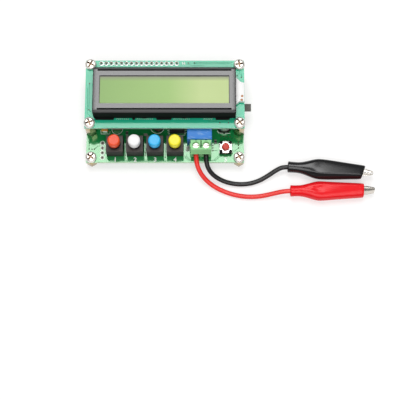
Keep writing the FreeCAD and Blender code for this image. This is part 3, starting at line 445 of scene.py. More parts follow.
# %% Making pieces
def block(bm, low, high):
    """A box between two corners in millimetres."""
    low, high = Vector(low) * MM, Vector(high) * MM
    made = bmesh.ops.create_cube(bm, size=1.0)["verts"]
    bmesh.ops.scale(bm, vec=high - low, verts=made)
    bmesh.ops.translate(bm, vec=(low + high) / 2, verts=made)
    return made


def post(bm, x, y, half_x, half_y, low, high):
    """A block that stands round a place, from one height to another."""
    return block(bm, (x - half_x, y - half_y, low), (x + half_x, y + half_y, high))


def spun(bm, profile, x, y, steps):
    """A profile of (radius, height) points in millimetres, turned about an upright line."""
    row = [bm.verts.new(((x + r) * MM, y * MM, z * MM)) for r, z in profile]
    edges = [bm.edges.new(pair) for pair in zip(row, row[1:])]
    bmesh.ops.spin(bm, geom=row + edges, cent=(x * MM, y * MM, 0), axis=(0, 0, 1), angle=2 * math.pi,
                   steps=steps, use_merge=True)


def closed(bm):
    """Merge seams and poles, fill what is still open and turn every face outwards."""
    bmesh.ops.remove_doubles(bm, verts=bm.verts, dist=1e-6)
    bmesh.ops.holes_fill(bm, edges=[edge for edge in bm.edges if edge.is_boundary], sides=0)
    bmesh.ops.recalc_face_normals(bm, faces=bm.faces)


def turned(*groups):
    """A closed shape at each place; a group is a profile, its places and the steps of its turn."""
    bm = bmesh.new()
    for profile, places, steps in groups:
        for x, y in places:
            spun(bm, profile, x, y, steps)
    closed(bm)
    return bm


def bevel(bm, edges, width, segments, clamp=False):
    bmesh.ops.bevel(bm, geom=edges, offset=width * MM, affect="EDGES", segments=segments, profile=0.5,
                    material=-1, clamp_overlap=clamp)


def round_edges(bm, width, angle=35, segments=2):
    sharp = [e for e in bm.edges if e.is_manifold and e.calc_face_angle(0) > math.radians(angle)]
    bevel(bm, sharp, width, segments, True)
    bmesh.ops.dissolve_degenerate(bm, dist=2e-7, edges=bm.edges)


def eased_copy(name, width):
    bm = bmesh.new()
    bm.from_mesh(nodes[name].data)
    bmesh.ops.remove_doubles(bm, verts=bm.verts, dist=2e-6)
    bmesh.ops.dissolve_limit(bm, angle_limit=math.radians(0.5), verts=bm.verts, edges=bm.edges)
    round_edges(bm, width)
    return bm


def piece(bm, name, slot, finishes=None, stands_for=(), crisp=35, body="tester"):
    """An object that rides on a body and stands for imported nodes, finished like its slot by default."""
    made = solid(bm, name)
    mesh = made.data
    for finish_name in finishes or [slot]:
        mesh.materials.append(look[finish_name])
    mesh.shade_smooth()
    mesh.set_sharp_from_angle(angle=math.radians(crisp))
    if body:
        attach(made, body)
    if stands_for:
        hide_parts(*stands_for)
    print(name, len(mesh.polygons), "faces")
    return made


def second_finish(bm, test, index=1):
    """Give the faces whose middle, in millimetres, passes a test another of the piece's finishes."""
    for face in bm.faces:
        if test(face.calc_center_median() / MM):
            face.material_index = index


def eased_piece(source, width, name, slot, finishes=None, second=None, body="tester"):
    """An eased copy that stands for its source, with a second finish where a test says so."""
    bm = eased_copy(source, width)
    if second:
        second_finish(bm, second)
    return piece(bm, name, slot, finishes, [source], body=body)


print("shapes to choose from: block, post, spun profile, eased copy")

# %% [markdown]
# The boots are soft sleeves that are pulled over the clips: a round neck on the lead, a shoulder over the
# handles, and a flattened body that ends in an open mouth. Rings are set along the clip, each with its own
# width, height and squareness, and bridged. A ridge runs along the top of each boot, to one side of the
# middle. The sleeve gets its wall from a modifier.

# %% Boots
# Each ring: its place along the clip, half its width, half its height, and its squareness (2 is round).
BOOT_RINGS = {
    "red": [
        (-23.7, 2.3, 2.15, 2), (-23, 2.18, 2.1, 2), (-20.5, 2.1, 2.08, 2), (-18.2, 2.14, 2.1, 2.1),
        (-15.6, 2.75, 2.45, 2.3), (-12.6, 3.75, 2.95, 2.8), (-10.2, 4.55, 3.2, 3.2),
        (-8.3, 4.72, 3.25, 3.4), (-5.4, 4.45, 3.22, 3.3), (-1, 4.1, 3.15, 3.2), (6, 3.6, 3.05, 3),
        (11.6, 3.2, 2.98, 2.9), (13.4, 3.08, 2.95, 2.9)],
    "black": [
        (-24.3, 2.22, 2.12, 2), (-23.4, 2.12, 2.08, 2), (-20.5, 2.06, 2.05, 2), (-18.4, 2.1, 2.08, 2.1),
        (-15.8, 2.65, 2.45, 2.3), (-12.8, 3.6, 2.95, 2.8), (-10.2, 4.4, 3.2, 3.2), (-8, 4.6, 3.28, 3.4),
        (-5, 4.48, 3.24, 3.3), (-0.5, 4.15, 3.15, 3.2), (6, 3.55, 3.05, 3), (11.8, 3.08, 2.95, 2.9),
        (14, 2.9, 2.9, 2.9)]}
# Place of the ridge, fullness of back and front, place of the dent along and across, slant of the mouth.
BOOT_FORM = {"red": (0.36, 0.88, 0.93, -10.8, 0.0, 0.05), "black": (-0.42, 1.0, 1.0, -11.2, -0.6, 0.3)}
BOOT_WALL = 0.7
ROOF_SLOPE, DENT_DEPTH = 0.46, 0.26
NECK_END, SHOULDER_LENGTH = -17.0, 8.0
MOUTH_START, MOUTH_LENGTH = 2.0, 12.0
RING_POINTS, FIRST_RIDGE_RING = 28, 5


def boot_ring(bm, colour, u, half_v, half_w, square):
    """One ring of a boot, squared off, with a ridge past the neck and a dent in the shoulder."""
    ring = bmesh.ops.create_circle(bm, segments=RING_POINTS, radius=1.0)["verts"]
    ridge, back, front, dent_u, dent_a, slant = BOOT_FORM[colour]
    body = max(0.0, min(1.0, (u - NECK_END) / SHOULDER_LENGTH))
    lean = slant * max(0.0, (u - MOUTH_START) / MOUTH_LENGTH)
    for vert in ring:
        a = math.copysign(abs(vert.co.x) ** (2 / square), vert.co.x)
        b = math.copysign(abs(vert.co.y) ** (2 / square), vert.co.y)
        if b > 0:
            b *= 1 - ROOF_SLOPE * body * abs(a - ridge) ** 0.75
            b -= DENT_DEPTH * math.exp(-((a - dent_a) / 0.22) ** 2 - ((u - dent_u) / 2.2) ** 2)
        a *= 1 + ((back if a > 0 else front) - 1) * body
        vert.co = Vector((u + lean * a * half_v, a * half_v, b * half_w)) * MM
    members = set(ring)
    edges = [e for e in bm.edges if e.verts[0] in members and e.verts[1] in members]
    return edges, max(ring, key=lambda vert: vert.co.z)


def boot(colour):
    bm = bmesh.new()
    rings = [boot_ring(bm, colour, *ring) for ring in BOOT_RINGS[colour]]
    for (near, _), (far, _) in zip(rings, rings[1:]):
        bmesh.ops.bridge_loops(bm, edges=near + far)
    bmesh.ops.recalc_face_normals(bm, faces=bm.faces)
    if sum(face.normal.dot(Vector((0, *face.calc_center_median().yz))) for face in bm.faces) < 0:
        bmesh.ops.reverse_faces(bm, faces=bm.faces)
    crease = bm.edges.layers.float.new("crease_edge")
    tops = [top for _, top in rings[FIRST_RIDGE_RING:]]
    for near_top, far_top in zip(tops, tops[1:]):
        ridge = bm.edges.get((near_top, far_top))
        if ridge:
            ridge[crease] = 0.7
    axes = clip_frame(colour)
    bmesh.ops.transform(bm, matrix=axes, verts=bm.verts)
    for vert in bm.verts:
        vert.co.z = max(vert.co.z, (BOOT_WALL + 0.05) * MM)
    made = piece(bm, f"{colour}_clip_boot", f"{colour}_rubber", None, [f"{colour}_boot"], 180, None)
    wall = made.modifiers.new("wall", "SOLIDIFY")
    wall.thickness = BOOT_WALL * MM
    wall.offset = 1
    smooth = made.modifiers.new("smooth", "SUBSURF")
    smooth.levels = smooth.render_levels = 2
    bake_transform(made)
    return made


boots = {colour: boot(colour) for colour in leads}
for colour, lead in leads.items():
    lead.data.materials.append(look[f"{colour}_wire"])

# %% [markdown]
# The jaws are folded sheet metal, so eased copies of the imported pieces are right for them.

# %% Jaws and cords
for colour, lead in leads.items():
    for part, body in (("fixed_jaw", "tester"), ("moving_jaw", f"{colour}_jaw"), ("pivot_pin", "tester")):
        name = f"{colour}_{part}"
        eased_piece(name, 0.07, f"{name}_eased", "bright_steel", ["jaw_steel"], body=body)
    dress(f"{colour}_clip_spring", "bright_steel")

# %% [markdown]
# The display's frame is a shallow pressed lid of black sheet. It starts as a box without a floor. Its upright
# and upper edges are rounded, cuts are laid across its top, the window is taken out, and the middle of each
# pressed groove is pushed down. A modifier gives the sheet its thickness, inwards. Beyond the grooves the
# lacquer is duller.

# %% Display frame
FRAME_LOW, FRAME_HIGH = (-35.6, -5.85, 19.2), (35.6, 18.35, 27.0)
WINDOW_X, WINDOW_Y = (-32.3, 32.3), (-0.8, 13.9)
GROOVES, GROOVE_DEPTH = (-3.7, 16.75), 0.42
GROOVE_CUTS = (-0.42, -0.22, 0.22, 0.42)
GROOVE_ENDS = (-33.3, 33.3, -32.9, 32.9)
# Faces further out than this from the middle belong to the walls.
MIDDLE_Y, WALL_X, WALL_Y = 6.25, 35.1, 11.6
SHEET = 0.5
bm = bmesh.new()
block(bm, FRAME_LOW, FRAME_HIGH)
bmesh.ops.delete(bm, geom=[f for f in bm.faces if f.normal.z < -0.5], context="FACES")
upright = [e for e in bm.edges if abs(e.verts[0].co.z - e.verts[1].co.z) > 0.001]
bevel(bm, upright, 0.8, 4)
rim = [e for e in bm.edges if all(abs(v.co.z - FRAME_HIGH[2] * MM) < 1e-7 for v in e.verts)]
bevel(bm, rim, 0.3, 3)
groove_sides = [row + step for row in GROOVES for step in GROOVE_CUTS]
for normal, places in ((Vector((1, 0, 0)), (*WINDOW_X, *GROOVE_ENDS)),
                       (Vector((0, 1, 0)), (*WINDOW_Y, *groove_sides))):
    for place in places:
        bmesh.ops.bisect_plane(bm, geom=bm.verts[:] + bm.edges[:] + bm.faces[:],
                               plane_co=normal * place * MM, plane_no=normal, dist=1e-7)
for vert in bm.verts:
    x, y, z = vert.co / MM
    if abs(z - FRAME_HIGH[2]) < 1e-3 and abs(x) < 33.0 and any(abs(y - row) < 0.3 for row in GROOVES):
        vert.co.z -= GROOVE_DEPTH * MM
middles = [(face, face.calc_center_median() / MM) for face in bm.faces]
hole = [face for face, (x, y, z) in middles if z > 26.5 and WINDOW_X[0] < x < WINDOW_X[1]
        and WINDOW_Y[0] < y < WINDOW_Y[1]]
bmesh.ops.delete(bm, geom=hole, context="FACES")
second_finish(bm, lambda p: p.y < GROOVES[0] - 0.4 or p.y > GROOVES[1] + 0.4, 2)
second_finish(bm, lambda p: p.z < 26.8 and max(abs(p.x) - WALL_X, abs(p.y - MIDDLE_Y) - WALL_Y) > 0)
second_finish(bm, lambda p: p.z < 26.9 and any(abs(p.y - row) < 0.4 for row in GROOVES))
display_frame = piece(bm, "display_frame", "black_metal", ["frame_black", "matt_black", "frame_rim"],
                      ["display_bezel"], crisp=30)
sheet_wall = display_frame.modifiers.new("sheet", "SOLIDIFY")
sheet_wall.thickness = SHEET * MM
sheet_wall.offset = -1
display_frame.modifiers.new("crisp_edges", "EDGE_SPLIT").split_angle = math.radians(40)

# %% [markdown]
# The frame is held by tabs that go through the display board and are twisted under it, and it stands on the
# board with four flanges along its front.

# %% Frame tabs and flanges
FLANGES = [(-34.9, -25.1), (-16.3, -14.5), (-4.3, 3.7), (25.3, 32.8)]
TAB_PLACES = [(x, y) for x in (-29, -10, 10, 29) for y in (-5.6, 18.1)]
TAB_HALF, TAB_TWIST = (0.8, 0.25), Matrix.Rotation(0.7, 3, "Z")
bm = bmesh.new()
for x0, x1 in FLANGES:
    for vert in block(bm, (x0, -6.85, 19.2), (x1, -5.7, 19.75)):
        if vert.co.y < -6.5 * MM:
            vert.co.x += 0.4 * MM if vert.co.x < (x0 + x1) / 2 * MM else -0.4 * MM
            vert.co.z = min(vert.co.z, 19.55 * MM)
for x, y in TAB_PLACES:
    post(bm, x, y, *TAB_HALF, 17.5, 19.7)
    twisted = post(bm, x, y, *TAB_HALF, 16.4, 17.5)
    bmesh.ops.rotate(bm, verts=twisted, cent=Vector((x, y, 0)) * MM, matrix=TAB_TWIST)
round_edges(bm, 0.08)
piece(bm, "frame_tabs", "black_metal", ["matt_black"])

# %% [markdown]
# The display's glass is two panes with liquid crystal between them, over a light guide. The light comes in
# from the right, so the yellow-green is painted paler that way. The mirror layer lies under the glass, so
# the frame throws a narrow dark line on it along three edges, and a soft shade at the back. Both are painted
# into the colour as painted shade.

# %% Display glass
glass = plastic("display_glass_green", (0.25, 0.42, 0.13), 0.1, clouding=0.04, cloud_scale=45.0,
                gloss_spread=0.03, grain_depth=1e-6, specular=0.2)
tree = glass.node_tree
place = node(tree, "ShaderNodeTexCoord").outputs["Object"]
along = node(tree, "ShaderNodeSeparateXYZ", {0: place}).outputs
x, y = along["X"], along["Y"]
# Painted light: the green gets paler towards the right.
green = mixed(tree, ramp(tree, x, -0.03, 0.002), (0.245, 0.41, 0.122), (0.31, 0.49, 0.152))
green = mixed(tree, ramp(tree, x, 0.002, 0.018), green, (0.47, 0.59, 0.245))
# Painted shade at the back of the window, under the frame's edge.
green = mixed(tree, ramp(tree, y, 0.0112, 0.0136), green, (0.24, 0.25, 0.17))
# A painted shadow line along the back and the two ends of the window.
frame_shadow_line = maths(tree, "MAXIMUM", ramp(tree, y, 0.01345, 0.01355), ramp(tree, x, -0.0319, -0.0321))
frame_shadow_line = maths(tree, "MAXIMUM", frame_shadow_line, ramp(tree, x, 0.0319, 0.0321))
lined = mixed(tree, frame_shadow_line, green, (0.03, 0.032, 0.02))
tree.links.new(lined, tree.nodes["effect"].inputs["Colour"])
dress("display_glass", glass.name)
print("display glass has", len(tree.nodes), "nodes")

# %% [markdown]
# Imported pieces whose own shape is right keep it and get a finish, and those with edges that catch the light
# are replaced by eased copies.

# %% Plain pieces
for name in ("controller_blobs", "header_socket", "usb_insert", "pin_header"):
    dress(name, "black_plastic")
for name in ("terminal_clamp_1", "terminal_clamp_2"):
    dress(name, "bright_steel")
dress("contact_strips", "contact_rubber")
dress("terminal_contacts", "plated_brass")

for name, width, slot in (
        ("feet", 0.2, "plated_brass"), ("display_standoffs", 0.2, "plated_brass"),
        ("stud_nuts", 0.2, "bright_steel"), ("backlight", 0.2, "white_plastic"),
        ("crystal", 0.2, "bright_steel"), ("power_switch_frame", 0.12, "bright_steel"),
        ("power_switch_body", 0.12, "black_plastic"), ("usb_shell", 0.1, "bright_steel")):
    eased_piece(name, width, f"{name}_eased", slot)
eased_piece("power_switch_slider", 0.15, "power_switch_slider_eased", "black_plastic", ["knob_grey"],
            body="power_slider")

# %% [markdown]
# Pan-head screws: a spun head with a cross-shaped recess. A Boolean cut is the quickest way to a clean cross.
# One head is made, then set down six times, each turned differently, as a screwdriver leaves them.

# %% Pan-head screws
HEAD = [
    (0, 0), (2.65, 0), (2.82, 0.12), (2.85, 0.7), (2.78, 1.2), (2.58, 1.6), (2.25, 1.85), (1.8, 1.95),
    (0, 2)]
CROSS_REACH, CROSS_HALF, CROSS_FLOOR = 2.0, 0.55, 0.75
# Each screw: its place, the height of its seat, its length and its turn in degrees.
SCREWS = [
    (-37.5, -8.5, 19.2, 5, 20), (37.5, -8.5, 19.2, 5, 38), (-37.5, 22.5, 19.2, 5, 62),
    (37.5, 22.5, 19.2, 5, 8), (-37.5, -22.5, 6.6, 2.7, 52), (37.5, -22.5, 6.6, 2.7, 28)]


def as_mesh(shown, *helpers):
    """The mesh that an object shows, after which it and its helpers are removed."""
    view = bpy.context.evaluated_depsgraph_get()
    mesh = bpy.data.meshes.new_from_object(shown.evaluated_get(view))
    for used in (shown, *helpers):
        bpy.data.objects.remove(used)
    return mesh


def lay_in(bm, mesh, matrix):
    """Add a copy of a mesh, moved by a matrix."""
    moved = mesh.copy()
    moved.transform(matrix)
    bm.from_mesh(moved)
    bpy.data.meshes.remove(moved)


def screw_head():
    head = solid(turned((HEAD, [(0, 0)], 40)), "screw_head_blank")
    bm = bmesh.new()
    for x, y in ((CROSS_REACH, CROSS_HALF), (CROSS_HALF, CROSS_REACH)):
        arm = block(bm, (-x, -y, CROSS_FLOOR), (x, y, 2.4))
        foot = [v for v in arm if v.co.z < 1.0 * MM]
        bmesh.ops.scale(bm, vec=(0.7, 0.7, 1.0), verts=foot)
    cross = solid(bm, "cross_cutter")
    cut = head.modifiers.new("cross", "BOOLEAN")
    cut.object = cross
    cut.solver = "EXACT"
    cut.use_self = True
    mesh = as_mesh(head, cross)
    for face in mesh.polygons:
        x, y, z = face.center / MM
        out = math.hypot(x, y)
        # The cross recess gets the dark steel, painted shade; the outer rim a paler copy, painted highlight.
        face.material_index = 1 if out < CROSS_REACH and 0.3 < z < 1.85 else 2 if out > 2.3 else 0
    return mesh


head_mesh = screw_head()
bm = bmesh.new()
for x, y, seat, length, turn in SCREWS:
    upright_turn = Matrix.Rotation(math.radians(turn), 4, "Z")
    lay_in(bm, head_mesh, Matrix.Translation(Vector((x, y, seat)) * MM) @ upright_turn)
    tip = seat - length
    spun(bm, [(0.0, tip), (1.2, tip), (1.45, tip + 0.3), (1.45, seat)], x, y, 24)
closed(bm)
piece(bm, "cross_head_screws", "bright_steel", ["screw_steel", "painted_shade_steel", "painted_highlight_rim_steel"],
      ["pan_screws"], crisp=28)

# %% [markdown]
# Solder climbs up a pin in a hollow curve and leaves a bright cone. The sixteen cones on the display board
# show in the photograph, with wide pads. Those under the main board are smaller and point down.

# %% Solder joints
HEADER = [(-32.2 + 2.54 * i, 23.4) for i in range(16)]
CONE_UP = [
    (1.16, 19.2), (1.12, 19.28), (0.74, 19.33), (0.56, 19.55), (0.42, 20.2), (0.38, 20.5), (0, 20.52)]
CONE_DOWN = [(0.62, 5), (0.6, 4.9), (0.42, 4.6), (0.3, 3.9), (0.26, 3.62), (0, 3.6)]
PIN_TIP = 20.25
low_ends = [v.co for v in nodes["solder_joints"].data.vertices if v.co.z < 3.7 * MM]
low_places = sorted({(round(p.x / MM, 2), round(p.y / MM, 2)) for p in low_ends})
bm = turned((CONE_UP, HEADER, 16), (CONE_DOWN, low_places, 10))
second_finish(bm, lambda p: p.z > PIN_TIP)
piece(bm, "solder_cones", "bright_steel", ["solder", "pin_end"], ["solder_joints"], crisp=50)

# %% [markdown]
# Each key has a grey housing, a black round collar that shows as a crescent under the cap, and a glossy cap.
# The caps are spun from a profile with a soft upper edge and a faint dish. Inside the housing a coil spring
# holds the key up. A small ring of wire that rises while it is spun makes the coil.

# %% Keys
KEYS = [
    (-25.2, "cap_red", "red_plastic"), (-15.1, "cap_white", "white_cap"),
    (-5.0, "cap_sky_blue", "blue_cap"), (5.1, "cap_yellow", "yellow_cap")]
KEY_Y = -17.65
# The flange, the stem in the housing and the peg in the cap: half width, foot and head.
COLLAR_BLOCKS = [(3.2, 12.56, 13.44), (0.8, 9.6, 12.6), (1.2, 15.3, 19.2)]
COLLAR = [(0, 12.6), (2.8, 12.6), (2.8, 15.2), (2.65, 15.4), (0, 15.4)]
CAP = [
    (0, 16.3), (2.85, 16.3), (3.04, 16.42), (3.1, 16.7), (3.07, 19.85), (3, 20.2), (2.82, 20.45),
    (2.55, 20.57), (2.2, 20.6), (1.2, 20.55), (0, 20.53)]
SPRING_FOOT, SPRING_HEAD, SPRING_TURNS = 7.64, 12.5, 5
SPRING_RADIUS, SPRING_WIRE = 1.85, 0.18


def key_spring(number, x):
    bm = bmesh.new()
    wire = bmesh.ops.create_circle(bm, segments=8, radius=SPRING_WIRE * MM)["verts"]
    bmesh.ops.rotate(bm, verts=wire, cent=(0, 0, 0), matrix=Matrix.Rotation(math.pi / 2, 3, "X"))
    bmesh.ops.translate(bm, verts=wire, vec=Vector((x + SPRING_RADIUS, KEY_Y, SPRING_FOOT + 0.2)) * MM)
    steps = 24 * SPRING_TURNS
    rise = (SPRING_HEAD - SPRING_FOOT - 0.4) / steps
    bmesh.ops.spin(bm, geom=bm.verts[:] + bm.edges[:], cent=Vector((x, KEY_Y, 0)) * MM, axis=(0, 0, 1),
                   dvec=(0, 0, rise * MM), angle=2 * math.pi * SPRING_TURNS, steps=steps)
    closed(bm)
    made = piece(bm, f"key_{number}_coil", "bright_steel", None, [f"key_{number}_spring"], crisp=60)
    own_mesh(made)


housing_top = max(vert.co.z for vert in nodes["key_housings"].data.vertices) / MM
# The housing's upright faces get the darker side copy of its grey, as painted shade.
eased_piece("key_housings", 0.22, "key_housings_eased", "grey_plastic",
            ["key_housing_grey", "key_housing_painted_shade_side"], lambda p: p.z < housing_top - 0.3)
for number, (x, cap, slot) in enumerate(KEYS, 1):
    body = f"key_{number}"
    bm = turned((COLLAR, [(x, KEY_Y)], 40))
    for half, low, high in COLLAR_BLOCKS:
        post(bm, x, KEY_Y, half, half, low, high)
    piece(bm, f"{body}_collar", "black_plastic", ["collar_black"], [f"{body}_plunger"], body=body)
    bm = turned((CAP, [(x, KEY_Y)], 48))
    piece(bm, f"{body}_round_cap", slot, [cap], [f"{body}_cap"], crisp=50, body=body)
    key_spring(number, x)

# %% [markdown]
# The test button has a black base under a steel plate that four melted pegs hold, bent steel legs, and a red
# plunger with a slightly domed top. The plate's folded sides are given a dark steel as painted shade.

# %% Test button
BUTTON = (30.7, -17.9)
PLATE_FOLD, BASE_HALF = 9.5, 3.02
PEG_PLACES = [(BUTTON[0] + dx, BUTTON[1] + dy) for dx in (-2.3, 2.3) for dy in (-2.3, 2.3)]
PEG = [(0.85, 9.9), (0.82, 10.06), (0.6, 10.2), (0, 10.26)]
PLUNGER = [
    (0, 9), (2.15, 9), (2.15, 9.5), (1.75, 9.52), (1.75, 11.2), (1.68, 11.38), (1.45, 11.48), (0.8, 11.5),
    (0, 11.5)]
# The plate's folded sides below the fold get the dark steel: painted shade.
eased_piece("test_switch_cover", 0.06, "test_switch_cover_eased", "bright_steel",
            ["bright_steel", "painted_shade_steel"], lambda p: p.z < PLATE_FOLD)
eased_piece("test_switch_base", 0.06, "test_button_base", "black_plastic", ["rivet_black", "bright_steel"],
            lambda p: abs(p.x - BUTTON[0]) > BASE_HALF)
piece(turned((PEG, PEG_PLACES, 20)), "test_button_pegs", "black_plastic", ["rivet_black"], crisp=60)
piece(turned((PLUNGER, [BUTTON], 40)), "test_button_plunger", "red_plastic", ["button_red"],
      ["test_switch_plunger"], crisp=45, body="test_button")

# %% [markdown]
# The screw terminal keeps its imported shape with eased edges. A thin dark strip marks the seam between its two
# halves. Its clamp screws are bright, with a deep slot.

# %% Screw terminal
SEAM = (17.94, -20.6, 16.5), (18.46, -16.6, 16.62)
eased_piece("terminal_housing", 0.18, "terminal_block", "terminal_green")
bm = bmesh.new()
block(bm, *SEAM)
piece(bm, "terminal_seam", "terminal_green", ["seam_dark"])
for number in (1, 2):
    eased_piece(f"terminal_screw_{number}", 0.12, f"terminal_clamp_screw_{number}", "bright_steel",
                ["screw_steel"], body=f"clamp_screw_{number}")

# %% [markdown]
# The relay's blue case has been handled: its top is rubbed pale in thin streaks. The scuff mask lightens the
# colour there.

# %% Relay
relay_blue = plastic("relay_blue", (0.03, 0.2, 0.6), 0.38, 0.1, 0.25, cloud_scale=200.0)
tree = relay_blue.node_tree
rubbed = node(tree, "ShaderNodeGroup", {"Turn": 0.25, "Stretch": (260.0, 1600.0, 400.0), "Amount": 0.56},
              node_tree=bpy.data.node_groups["scuffs"])
laid_over(relay_blue, maths(tree, "MULTIPLY", rubbed.outputs["Mask"], 0.6), (0.2, 0.38, 0.66))
eased_piece("relay", 0.3, "relay_case", "relay_blue")

# %% [markdown]
# The can capacitor is a spun aluminium cup, crimped near its foot, on a black base. The tantalum capacitor
# and the controller chip have tinned ends, so faces that lie outside the body get the metal.

# %% Capacitors and chips
CAN = (30.0, -6.0)
CAN_CUP = [
    (0, 7.7), (3.1, 7.7), (3.1, 8.5), (3, 8.65), (2.72, 8.9), (3, 9.15), (3.1, 9.3), (3.1, 12.1),
    (2.98, 12.36), (2.75, 12.5), (2.5, 12.48), (0, 12.44)]
BASE_TOP, CUP_FACE = 8.02, 12.3
TANTALUM_Y, TANTALUM_HALF = -6.2, 2.72
CONTROLLER_X, CONTROLLER_HALF = 6.05, 3.77
bm = eased_copy("electrolytic_capacitor", 0.12)
high = [f for f in bm.faces if f.calc_center_median().z > BASE_TOP * MM]
bmesh.ops.delete(bm, geom=high, context="FACES")
closed(bm)
piece(bm, "can_base", "black_plastic", ["rivet_black"])
bm = turned((CAN_CUP, [CAN], 48))
second_finish(bm, lambda p: p.z > CUP_FACE and p.x < CAN[0] - 1.6)
piece(bm, "can_cup", "can_aluminium", ["can_aluminium", "rivet_black"], ["electrolytic_capacitor"])
eased_piece("tantalum_capacitor", 0.15, "tantalum_block", "orange_plastic", ["capacitor_orange", "solder"],
            lambda p: abs(p.y - TANTALUM_Y) > TANTALUM_HALF)
eased_piece("microcontroller", 0.06, "controller_chip", "black_plastic", ["black_plastic", "solder"],
            lambda p: abs(p.x - CONTROLLER_X) > CONTROLLER_HALF)

# %% [markdown]
# The reference coil is enamelled wire on a ferrite drum. Small chip parts are blocks with a tinned cap at
# each end, and the two film capacitors are dipped in glossy brown.

# %% Coil and small parts
DRUM_PLACE = (-3.5, -5.8)
DRUM = [
    (0, 6.6), (3.1, 6.6), (3.2, 6.75), (3.2, 7.6), (3.1, 7.75), (2.7, 7.8), (2.7, 12.6), (3.1, 12.65),
    (3.2, 12.8), (3.2, 13.6), (3.1, 13.8), (0, 13.8)]
WIRE_RING = [(2.66, -0.15), (2.84, -0.11), (2.9, 0), (2.84, 0.11), (2.66, 0.15), (2.66, -0.15)]
COIL_TURNS, COIL_START, COIL_PITCH = 15, 7.98, 0.31


def lifted(profile, floor):
    return [(r, floor + z) for r, z in profile]


coil = [(lifted(WIRE_RING, COIL_START + COIL_PITCH * turn), [DRUM_PLACE], 24) for turn in range(COIL_TURNS)]
bm = turned((DRUM, [DRUM_PLACE], 32), *coil)
second_finish(bm, lambda p: 7.82 < p.z < 12.58 and math.dist(p.xy, DRUM_PLACE) > 2.68)
piece(bm, "drum_coil", "ferrite", ["ferrite", "copper"], ["reference_inductor"])

FILM_PLACES = [(-24.4, -6.9), (-24.4, -1.0)]
CHIP_PARTS = [
    (11.4, -17.9, 90), (-33.5, 4, 0), (-29.5, 4, 0), (-19.5, -9.6, 90), (-10, -10.4, 0), (25.6, -14.2, 90),
    (15, -4, 0), (15, -1.6, 0), (20, -4, 90), (-9, 4.5, 0), (-6, 4.5, 0)]
# Half width, half depth, foot and head of a film capacitor, a chip part and its ends.
FILM_BODY, CHIP_BODY, CHIP_END = (2.5, 1.3, 6.6, 12.8), (0.66, 0.6, 6.62, 7.12), (0.2, 0.625, 6.6, 7.15)


def finished_post(index, *form):
    """A post of the small parts whose faces have one of their finishes."""
    made = post(bm, *form)
    for face in {f for v in made for f in v.link_faces}:
        face.material_index = index
    return made


bm = bmesh.new()
for x, y in FILM_PLACES:
    post(bm, x, y, *FILM_BODY)
round_edges(bm, 0.5, segments=3)
for count, (x, y, turn) in enumerate(CHIP_PARTS):
    made = finished_post(1 if count % 2 else 2, x, y, *CHIP_BODY)
    for end in (x - 0.8, x + 0.8):
        made += finished_post(3, end, y, *CHIP_END)
    bmesh.ops.rotate(bm, verts=made, cent=Vector((x, y, 0)) * MM,
                     matrix=Matrix.Rotation(math.radians(turn), 3, "Z"))
piece(bm, "small_parts", "film_brown", ["film_brown", "chip_part_dark", "chip_part_pale", "dull_tin"],
      ["chip_passives"])

# %% [markdown]
# On the boards there are thin copper tracks under the lacquer, plated holes, tinned pads and white marks.
# Tracks and marks are drawn as lines with a round section and then pressed almost flat, so that they stand a
# hair above the board. The places for words stay bare, apart from plain numbers at the keys.

# %% Tracks and marks
def pressed_lines(name, rows, width, floor, height, finish_name, slot):
    """Lines through points in millimetres, pressed flat on a board face at height floor."""
    curve = round_curve(name, width / 2 * MM, 2)
    for row in rows:
        spline = curve.splines.new("POLY")
        spline.points.add(len(row) - 1)
        for point, (x, y) in zip(spline.points, row):
            point.co = (x * MM, y * MM, 0, 1)
    bm = bmesh.new()
    bm.from_mesh(as_mesh(in_scene(name, curve)))
    bmesh.ops.scale(bm, vec=(1, 1, 2 * height / width), verts=bm.verts)
    bmesh.ops.translate(bm, vec=(0, 0, floor * MM), verts=bm.verts)
    piece(bm, name, slot, [finish_name])


def arc(x, y, radius, start, end, steps=20):
    turns = [math.radians(start + (end - start) * i / steps) for i in range(steps + 1)]
    return [(x + radius * math.cos(t), y + radius * math.sin(t)) for t in turns]


board_lacquer("main_track_lacquer", (0.01, 0.2, 0.045), (0.01, 0.2, 0.045), 0.4)
board_lacquer("display_track_lacquer", (0.012, 0.3, 0.16), (0.012, 0.3, 0.16), 0.35)
MAIN_TRACKS = [
    [(24, -24.2), (24.9, -23.9), (27.4, -21.2)], [(25.2, -24.4), (27.7, -21.9)],
    [(10.2, -21.6), (10.2, -22.6), (12.4, -24.1), (24, -24.2)],
    [(11, -21), (11, -22.2), (12.8, -23.6), (22.6, -23.6)],
    [(-30.4, -14.9), (-28.9, -16.4), (-28.9, -22.4), (-27.4, -23.9), (9, -23.9)],
    [(-30.4, -19.9), (-29.4, -20.9), (-29.4, -23), (-27.8, -24.5), (8.4, -24.5)],
    [(-20.2, -21.3), (-20.2, -13)], [(-10, -21.3), (-10, -13)], [(0.1, -22.5), (0.1, -13)],
    [(24.2, -16), (25.9, -14.9), (28.4, -12.3), (28.4, -11.3)], [(24.2, -18.8), (26.6, -18.8)],
    [(33, -11.3), (34.6, -12.9), (34.6, -15)], [(37.2, -14.4), (35.6, -12.8), (35.6, -9)],
    [(37.3, -17.4), (35.4, -19), (34.2, -19)], [(-38.6, -18.1), (-38.6, -13), (-36.4, -10.8)],
    [(-35.9, -18.1), (-34.2, -16.4), (-33.2, -16.4)],
    [(36, 9), (33, 9), (30, 12), (24, 12), (20, 8)]]
